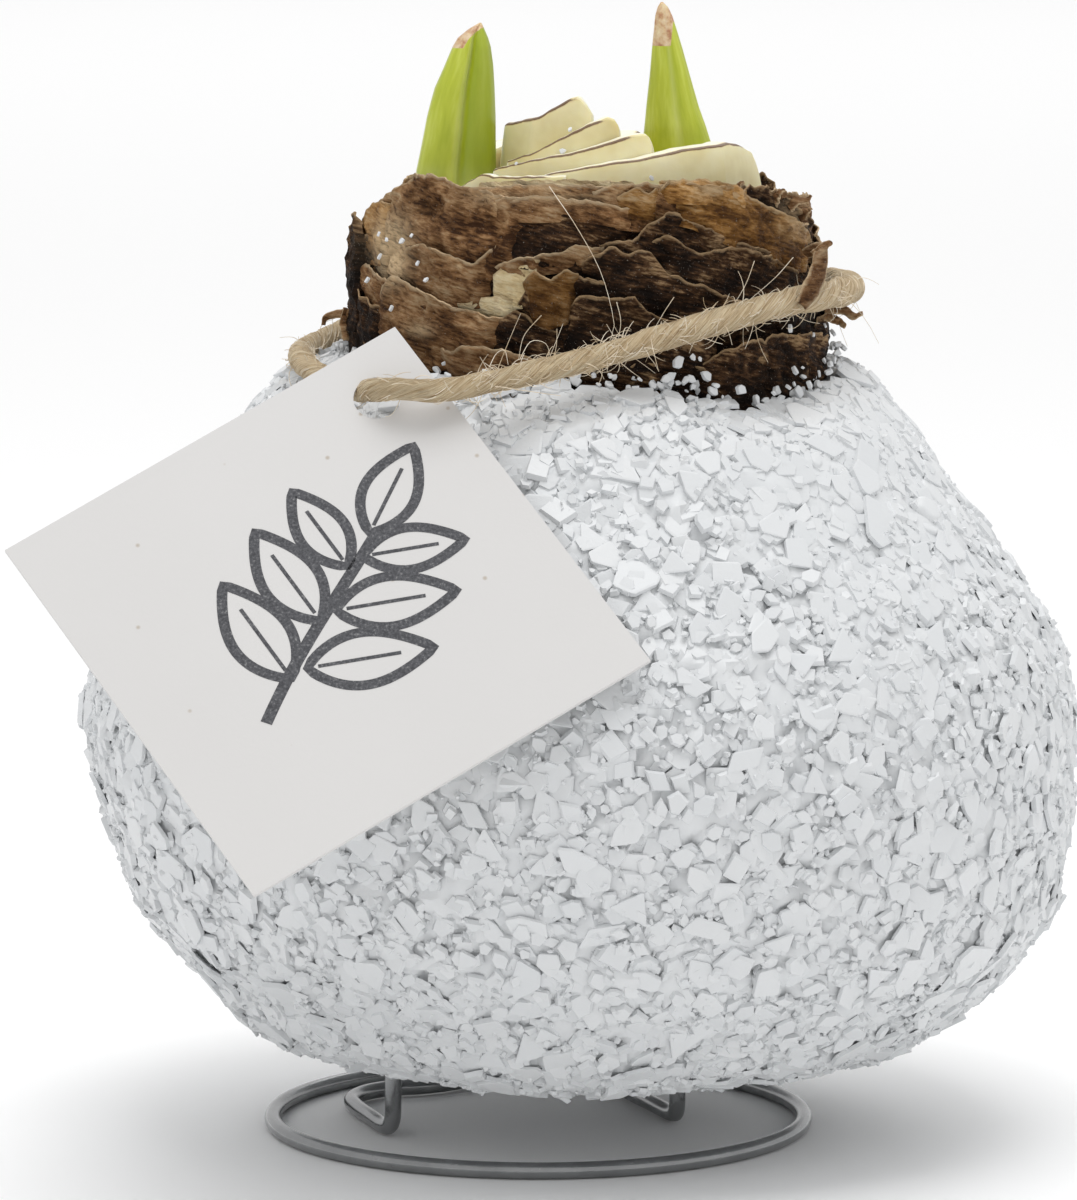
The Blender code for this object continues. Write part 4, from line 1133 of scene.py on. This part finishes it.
def strata(seed, count, first, last):
    """Rows of torn skins for the sides and the back, lower ones lying over higher ones."""
    rng = random.Random(seed)
    rows = []
    for k in range(count):
        level = k / (count - 1)
        middle = rng.uniform(first, last)
        half = rng.uniform(17, 34)
        high = 108.8 - 16.0 * level + rng.uniform(-1.3, 1.3)
        top = [(middle + half * q, high + rng.uniform(-0.9, 0.9) - 2.2 * q * q) for q in (-1, -0.6, -0.2, 0.2, 0.6, 1)]
        foot = [(middle + half * q, max(high - rng.uniform(8, 10), 84.0)) for q in (-1, 1)]
        rows.append((foot, top, 0.15 + 1.35 * level + rng.uniform(-0.1, 0.1), rng.uniform(0.2, 0.9), seed * 50 + k,
                     rng.uniform(0.25, 0.8), 0.45, 0.35, 0.9))
    return rows


def loose_shred(name, points, width, twist, seed, tone):
    """A narrow curled strip of dry skin; twist is two angles or the way its flat side faces."""
    path = smooth_path(round_neck(*np.transpose(points)), 26)
    tangent, a, b = path_frames(path)
    rows = []
    for i, middle in enumerate(path):
        t = i / (len(path) - 1)
        if len(twist) == 3:
            side = unit(np.cross(tangent[i], twist))
        else:
            turn = twist[0] + (twist[1] - twist[0]) * t
            side = a[i] * math.cos(turn) + b[i] * math.sin(turn)
        lift = np.cross(tangent[i], side)
        wide = read_table(width, t) * (1.0 + 0.25 * noise.noise(Vector((t * 6.0, seed, 0.0))))
        rows += [middle + side * q * wide / 2 + lift * 0.22 * wide * q * q
                 + lift * 0.18 * noise.noise(Vector((t * 7.0, q, seed))) for q in (-1.0, -0.6, -0.2, 0.2, 0.6, 1.0)]
    faces = [(i * 6 + k, i * 6 + k + 1, i * 6 + k + 7, i * 6 + k + 6) for i in range(len(path) - 1) for k in range(5)]
    ob = mesh_piece(name, rows, faces)
    mark(ob, edge=np.tile((0.0, 0.5, 1.0, 1.0, 0.5, 0.0), len(path)), tone=tone, worn=0.0)
    set_uv(ob, np.array(rows)[:, [0, 2]] + seed)
    thicken(ob, 0.22 * MM)
    return ob


# Shreds at the sides of the neck, at its torn rim and over the twine: their points as bearing, distance and
# height, widths along them, twist, seed and tone
SHREDS = [
    ([(-33.0, 28.6, 101.6), (-34.2, 31.0, 102.4), (-36.2, 31.8, 101.0),
      (-38.6, 32.4, 99.6), (-41.4, 32.7, 98.2), (-44.2, 32.7, 96.6)],
     [(0.0, 1.2), (0.3, 1.7), (0.5, 2.0), (0.9, 2.1), (1.0, 1.6)], (0.35, -1.0, 0.0), 3, 0.02),
    ([(-34.6, 30.4, 101.6), (-33.4, 31.4, 102.8), (-31.6, 31.6, 103.1)],
     [(0.0, 1.3), (0.6, 0.8), (1.0, 0.4)], (0.35, -1.0, 0.2), 4, 0.2),
    ([(-16, 27.6, 94.8), (-15, 29.6, 94.9), (-15.4, 30.8, 94.2), (-15.6, 31.9, 94.5)],
     [(0.0, 1.3), (0.45, 1.4), (0.8, 0.8), (1.0, 0.4)], (0.3, 1.0), 5, 0.2),
    ([(-18, 28.0, 94.2), (-17.5, 29.4, 93.6), (-18, 30.2, 93.0)],
     [(0.0, 1.1), (0.6, 0.8), (1.0, 0.4)], (0.8, 1.5), 6, 0.2),
    ([(-172, 27.4, 94.1), (-176, 28.8, 93.8), (-177, 29.9, 93.3), (-177.2, 30.1, 92.5)],
     [(0.0, 1.1), (0.5, 0.9), (1.0, 0.4)], (0.1, -1.0, 0.3), 7, 0.2),
    ([(-173, 27.7, 94.6), (-171, 28.0, 93.0), (-168, 28.0, 91.2)],
     [(0.0, 0.5), (0.5, 0.9), (1.0, 0.6)], (0.2, -1.0, 0.0), 9, 0.3),
    ([(-22, 25.2, 105.2), (-21, 25.9, 106.0), (-20, 26.5, 106.3)],
     [(0.0, 1.7), (0.5, 1.1), (1.0, 0.4)], (1.2, 0.5), 11, 0.1),
    ([(-28, 25.0, 106.8), (-26.5, 26.0, 107.5), (-24.5, 26.6, 107.4), (-23.4, 27.0, 107.9)],
     [(0.0, 1.9), (0.4, 1.2), (0.8, 0.6), (1.0, 0.3)], (0.4, 1.0), 13, 0.1),
    ([(-35, 24.6, 107.4), (-33.6, 25.4, 108.6), (-32.4, 25.7, 108.7)],
     [(0.0, 1.9), (0.6, 1.0), (1.0, 0.4)], (0.8, 0.2), 15, 0.15),
    ([(-24.6, 25.4, 104.2), (-24, 26.2, 104.9), (-23, 26.6, 104.8)],
     [(0.0, 1.5), (0.6, 0.9), (1.0, 0.4)], (1.0, 0.1), 17, 0.1),
    ([(-46, 23.0, 108.4), (-45, 23.4, 109.5), (-44, 23.8, 109.8)],
     [(0.0, 1.4), (0.6, 0.9), (1.0, 0.4)], (1.0, 0.1), 18, 0.2),
    ([(60, 26.0, 99.0), (62, 28.0, 100.0), (66, 28.6, 99.4)],
     [(0.0, 3.0), (0.6, 2.0), (1.0, 0.7)], (0.6, 1.3), 21, 0.6),
    ([(132, 26.2, 96.0), (130, 27.8, 97.2), (126, 28.4, 97.0)],
     [(0.0, 3.0), (0.6, 2.2), (1.0, 0.7)], (0.4, 1.1), 23, 0.5),
]


def dress_neck():
    """The skins by their finish, each kind joined as one piece."""
    side = strata(5, 18, 0, 200)
    for name, rows, finish in (("skins_tan", TAN_SHEETS + side[::3], TAN_SKIN),
                               ("skins_dark", DARK_SHEETS + side[1::3] + side[2::3], DARK_SKIN),
                               ("skins_amber", AMBER_SHEETS, AMBER_SKIN), ("skins_pale", PALE_SHEETS, PALE_SKIN)):
        sheets = [skin_sheet("%s_%d" % (name, k), *row) for k, row in enumerate(rows)]
        if name == "skins_tan":
            sheets += [loose_shred("shred_%d" % k, *row) for k, row in enumerate(SHREDS)]
        adopt(join(sheets), name, finish, ["bulb"], 70)


def wax_on_neck():
    """Stray wax crumbs caught on the skins and at the edge of the coat."""
    placed = [(b, 28.1, z, 0.5) for b, z in (
        (-146.6, 103.9), (-134.6, 104.1), (-137.8, 103.4), (-132.7, 101.1), (-130.2, 99.3), (-141.7, 95.8),
         (-146.3, 101.4),
        (-152, 98.6), (-143.4, 103.4))]
    placed += [(b, 28.9, z, s) for b, z, s in (
        (-70.4, 90.7, 0.95), (-73.3, 88.9, 0.75), (-67.4, 88.8, 0.7), (-39.6, 93.6, 0.7), (-40.1, 87.1, 0.6),
         (-67, 91.2, 0.5),
        (-65.3, 91, 0.45), (-45, 86.6, 0.6), (-34.7, 89.1, 0.4), (-27.2, 88.1, 0.5), (-30, 92.6, 0.4),
         (-24, 93.4, 0.4))]
    placed += [(-99.4, 13.2, 115.4, 0.45), (-102.7, 13.6, 113.0, 0.5), (-70.3, 20.2, 110.4, 0.5),
        (-114.8, 19.4, 111.9, 0.25)]
    rng = np.random.default_rng(81)
    edge = [(-180, 89.2), (-90, 88.7), (-77, 88.2), (-54, 86.6), (-42, 85.6), (-21, 88.0), (0, 89.8), (180, 89.2)]
    for _ in range(240):
        b = rng.uniform(-180, 180)
        z = read_table(edge, b)
        placed.append((b, rng.uniform(27.0, 29.2), z + rng.normal(0.2, 0.7), rng.uniform(0.4, 0.95)))
    bearing, reach, height, size = np.transpose(placed)
    up = round_neck(bearing, 1.0, 0.35 + 0.0 * height) - (NECK_X, 0.0, 0.0)
    up = unit(up + rng.normal(0, 0.35, up.shape))
    at = round_neck(bearing, reach, height)
    shapes = [chip_shape(5, 0.12, 110 + k, 0.6 + 0.1 * k) for k in range(4)]
    return adopt(copy_chips("wax_on_neck", shapes, rng, at, up, size * 0.92, size * 0.6), "wax_on_neck", WAX)


neck_core()
dress_neck()
wax_on_neck()


# Cut cream scales in the mouth of the neck

# Piece, distance from the neck's axis, thickness, and its cut top as bearing and height
SCALES = [
    ("scale_front", 18.2, 3.0, [(-106, 110.6), (-95.5, 111.3), (-81.6, 112.0), (-65.2, 112.8), (-56, 113.3),
     (-34.6, 113.8),
                                (-27.5, 113.5), (-14, 112.4), (-7, 110.6)]),
    ("scale_middle", 14.9, 2.4, [(-136, 110.8), (-119, 111.8), (-107.5, 112.4), (-92.4, 113.2), (-79.6, 114.3),
                                 (-72, 114.9), (-65.5, 114.9), (-62, 113.4)]),
    ("scale_upper_right", 12.2, 2.6, [(-138, 111.6), (-120, 112.6), (-112, 113.5), (-103, 114.5), (-95, 115.4),
     (-87, 116.2),
                                      (-81, 116.7), (-77, 116.4), (-74, 115.2)]),
    ("scale_upper_left", 9.4, 2.6, [(-176, 115.0), (-146, 115.8), (-125, 116.5), (-112, 117.7), (-102, 118.7),
     (-97, 118.8),
                                    (-92, 118.0), (-87, 116.7)]),
    ("scale_left", 19.3, 1.6, [(-139, 108.9), (-132, 110.0), (-128, 110.6), (-123, 110.3), (-107, 110.5),
     (-98, 110.6)]),
    ("scale_back_outer", 17.9, 2.8, [(23, 110.6), (76, 112.4), (144, 111.4), (174, 109.8)]),
    ("scale_back_middle", 13.7, 2.6, [(44, 112.0), (107, 113.8), (170, 111.6)]),
    ("scale_back_inner", 9.7, 2.4, [(58, 113.2), (110, 114.8), (158, 112.6)]),
    ("scale_heart", 4.8, 2.8, [(-140, 112.0), (6, 114.4), (152, 113.0)]),
]
SCALE_FOOT = 104.9
# Outline of a scale's section from its outer face over the cut to its inner face: half thicknesses out, level, rim
SECTION = [(1.0, t, 0.0) for t in (0.0, 0.3, 0.55, 0.75, 0.88, 0.955)] + [
    (0.97, 0.985, 1.0), (0.8, 1.0, 0.7), (0.5, 1.01, 0.0), (-0.5, 1.01, 0.0), (-0.85, 1.0, 0.3)] + [
    (-1.0, t, 0.0) for t in (0.9, 0.6, 0.3, 0.0)]


def cream_scale(label, radius, thickness, tops, seed):
    """A bent slab of scale, nearly flat between its cuts; the rim value marks its dry brown outer line."""
    rng = random.Random(seed)
    start, end = tops[0][0], tops[-1][0]
    corners = [start]
    while corners[-1] + 40 < end:
        corners.append(corners[-1] + rng.uniform(20, 36))
    corners.append(end)
    along = max(20, int(math.radians(end - start) * radius / 0.35))
    points, rim, cut = [], [], []
    for i in range(along + 1):
        u = i / along
        b = start + (end - start) * u
        a = math.radians(b)
        chord = (np.interp(b, corners, wave(np.radians(corners))) for wave in (np.cos, np.sin))
        flat = 0.15 + 0.85 * math.hypot(*chord)
        top = read_table(tops, b) + 0.12 * noise.noise(Vector((u * 14.0, seed, 0.0)))
        half = thickness / 2 * min(1.0, 0.25 + 3.2 * u) * (1.0 - 0.5 * smooth_step(0.97, 1.0, u))
        for out, t, line in SECTION:
            level = min(t, 1.0)
            bulge = 0.5 * math.sin(math.pi * level) - 0.35 * t
            wobble = 0.22 * noise.noise(Vector((u * 5.0, t * 1.5, seed)))
            r = radius * flat + out * half + bulge + wobble
            points.append((NECK_X + r * math.cos(a), r * math.sin(a),
                           SCALE_FOOT + (top - SCALE_FOOT) * level + (t - level) * 6.0))
            rim.append(line * (1.0 - smooth_step(0.78, 0.95, u)))
            cut.append(1.0 if (t >= 1.0 and out < 0.7) or i in (0, along) else 0.0)
    ob = mesh_piece("cream_" + label, points, ring_faces(along + 1, len(SECTION), capped=True))
    mark(ob, rim=rim, cut=cut)
    outward(ob)
    return adopt(ob, "cream_" + label, FLESH, [label], 24)


def neck_flesh():
    """Cut face of the neck under the scales, with the rings of the scales in it."""
    rings, steps = np.linspace(0.0, 21.6, 120)[1:], 160
    turn = np.linspace(0.0, math.tau, steps, endpoint=False)
    points, rim = [np.array([(NECK_X, 0.0, 105.2)])], [[0.0]]
    for r in rings:
        wave = (r + 0.5 * ring_noise(turn, 2, r * 0.2)) / 2.9 % 1.0
        high = 105.0 + 0.35 * np.sin(math.pi * wave) ** 0.5 + 0.8 * smooth_step(18.5, 21.6, r)
        points.append(np.stack([NECK_X + r * np.cos(turn), r * np.sin(turn), high], 1))
        rim.append((wave < 0.05) | (wave > 0.97))
    faces = [(0, 1 + k, 1 + (k + 1) % steps) for k in range(steps)] + ring_faces(len(rings), steps, 1)
    ob = mesh_piece("neck_flesh", np.concatenate(points), faces)
    mark(ob, rim=np.concatenate(rim), cut=0.4)
    for face in ob.data.polygons:
        if face.normal.z < 0:
            face.flip()
    return adopt(ob, "neck_flesh", FLESH, (), 180)


for number, row in enumerate(SCALES):
    cream_scale(*row, number * 4.3)
neck_flesh()


# Two green shoots: points of the middle line, half width and half depth

LEFT_SHOOT = [
    (-14.0, -4.9, 105.1, 4.5, 3.1), (-14.0, -4.9, 110.2, 4.5, 3.2), (-13.4, -5.0, 116.2, 3.86, 2.9),
    (-13.0, -5.05, 119.6, 3.36, 2.6), (-12.5, -5.1, 122.2, 2.7, 2.2), (-12.2, -5.15, 124.2, 2.14, 1.8),
    (-12.05, -5.2, 125.2, 1.7, 1.4), (-11.65, -5.2, 126.2, 0.88, 0.8), (-11.2, -5.2, 126.9, 0.12, 0.12),
]
RIGHT_SHOOT = [
    (11.1, 2.4, 105.1, 4.2, 2.9), (11.05, 2.4, 112.6, 3.94, 2.8), (10.8, 2.4, 114.8, 3.5, 2.7),
     (10.5, 2.4, 117.0, 3.0, 2.4),
    (10.2, 2.35, 120.5, 2.3, 1.9), (9.9, 2.3, 123.6, 1.74, 1.5), (9.7, 2.25, 125.6, 1.33, 1.15),
     (9.5, 2.2, 127.3, 0.98, 0.8),
    (9.4, 2.15, 128.3, 0.62, 0.5), (9.3, 2.1, 128.9, 0.14, 0.14),
]


def grow_shoot(name, sections, cleft, dry, seed):
    """A folded young leaf; dry gives where its tan tip starts, where it is all tan, and the band's width."""
    rows, steps = 90, 72
    foot, table = sections[0][2], np.array(sections)
    start, whole, band = dry
    points, tip, shade, pale, uv = [], [], [], [], []
    for height in np.linspace(foot, sections[-1][2], rows):
        x, y, w, d = (np.interp(height, table[:, 2], table[:, k]) for k in (0, 1, 3, 4))
        for k in range(steps):
            a = math.tau * k / steps
            c, s = math.cos(a), math.sin(a)
            reach = 1.0 + 0.012 * math.sin(9 * a + seed)
            reach += 0.02 * noise.noise(Vector((c * 2, s * 2, height * 0.2 + seed)))
            if s < 0.0:
                reach -= cleft * math.exp(-((c - 0.12) / 0.16) ** 2) * (1.0 if c < 0.12 else 0.75)
            points.append((x + w * c * reach, y + d * s * reach, height))
            inside = smooth_step(0.12, -0.12, w * (c + 1.0) - band) * smooth_step(start - 0.15, start + 0.15, height)
            tip.append(max(inside, smooth_step(whole - 0.3, whole + 0.3, height)))
            # Painted shade mask on the right front face of the fold.
            shade.append(0.55 * smooth_step(0.02, 0.3, c) if cleft > 0.2 and s < 0.35 else 0.0)
            # Painted highlight: a pale line down the front ridge of the fold, carried in the pale value with the paler
            # foot.
            if cleft > 0.2 and s < 0:
                highlight_line = 0.5 * math.exp(-((c + 0.02) / 0.07) ** 2)
            else:
                highlight_line = 0.25 * math.exp(-((c - 0.1) / 0.12) ** 2)
            pale.append(max(0.6 * smooth_step(foot + 7.0, foot + 1.0, height), highlight_line))
            uv.append((k / steps * 12.0, height))
    ob = mesh_piece("green_" + name, points, ring_faces(rows, steps, capped=True))
    mark(ob, tip=tip, shade=shade, pale=pale)
    set_uv(ob, uv)
    outward(ob)
    return adopt(ob, "green_" + name, LEAF, [name], 180)


grow_shoot("shoot_left", LEFT_SHOOT, 0.42, (124.1, 126.6, 1.3), 1.0)
grow_shoot("shoot_right", RIGHT_SHOOT, 0.10, (124.0, 126.6, 2.1), 2.0)


# Wire stand


def wire_stand():
    """The floor ring, and the wire that crosses it and rises as two prongs."""
    choose()
    bpy.ops.mesh.primitive_torus_add(major_radius=30.6, minor_radius=WIRE_RADIUS, major_segments=160,
                                     minor_segments=20, location=(-4.7, 0.0, WIRE_RADIUS))
    ring = bpy.context.object
    co = [(ring.matrix_world @ v.co)[:] for v in ring.data.vertices]
    ring.matrix_world = Matrix()
    set_points(ring, co)
    adopt(ring, "wire_ring", STEEL, ["stand_ring"], 180)
    h = 1.1
    (lx, ly), (rx, ry) = PRONG_FEET
    path = smooth_path([
        (lx, ly, 26.0), (lx, ly, 14.0), (lx, ly, 5.0), (lx - 0.15, ly + 0.25, h + 0.9),
        (lx - 0.9, ly + 1.6, h), (-23.9, -1.8, h), (-25.7, 4.0, h), (-26.4, 8.4, h), (-25.1, 12.4, h),
        (-22.0, 15.2, h), (-17.4, 16.8, h), (-13.0, 20.4, h), (-9.2, 26.0, h), (-5.4, 28.2, h),
        (-1.0, 27.4, h), (2.8, 22.0, h), (5.8, 13.6, h), (8.8, 5.6, h), (rx - 0.5, ry + 1.4, h),
        (rx - 0.05, ry + 0.1, h + 0.9), (rx, ry, 5.0), (rx, ry, 14.0), (rx, ry, 26.0),
    ], 260)
    points, faces, run = tube_mesh(path, WIRE_RADIUS, 16)
    adopt(mesh_piece("wire_prongs", points, faces), "wire_prongs", STEEL, ["stand_prongs"], 180)


wire_stand()


# Floor and light

choose()
bpy.ops.mesh.primitive_plane_add(size=12.0, location=(0.0, 4.0, 0.0))
floor = bpy.context.object
floor.name = "floor"
pale_floor = Finish("pale floor", 0.7)
floor.data.materials.append(pale_floor.done((0.97, 0.97, 0.97)))

world = bpy.data.worlds.new("studio")
world.use_nodes = True
world.node_tree.nodes["Background"].inputs["Color"].default_value = (1.0, 1.0, 1.0, 1.0)
world.node_tree.nodes["Background"].inputs["Strength"].default_value = 0.70
scene.world = world


def soft_light(name, at, towards, size, power):
    data = bpy.data.lights.new(name, "AREA")
    data.shape = "SQUARE"
    data.size = size
    data.energy = power
    ob = bpy.data.objects.new(name, data)
    scene.collection.objects.link(ob)
    ob.location = at
    ob.rotation_euler = (Vector(towards) - Vector(at)).to_track_quat("-Z", "Y").to_euler()
    return ob


soft_light("key light", (0.05, -0.15, 1.0), (0.0, 0.0, 0.06), 0.6, 4.4)
soft_light("backdrop light", (0.0, 2.6, 2.2), (0.0, 2.6, 0.0), 3.0, 26.0)
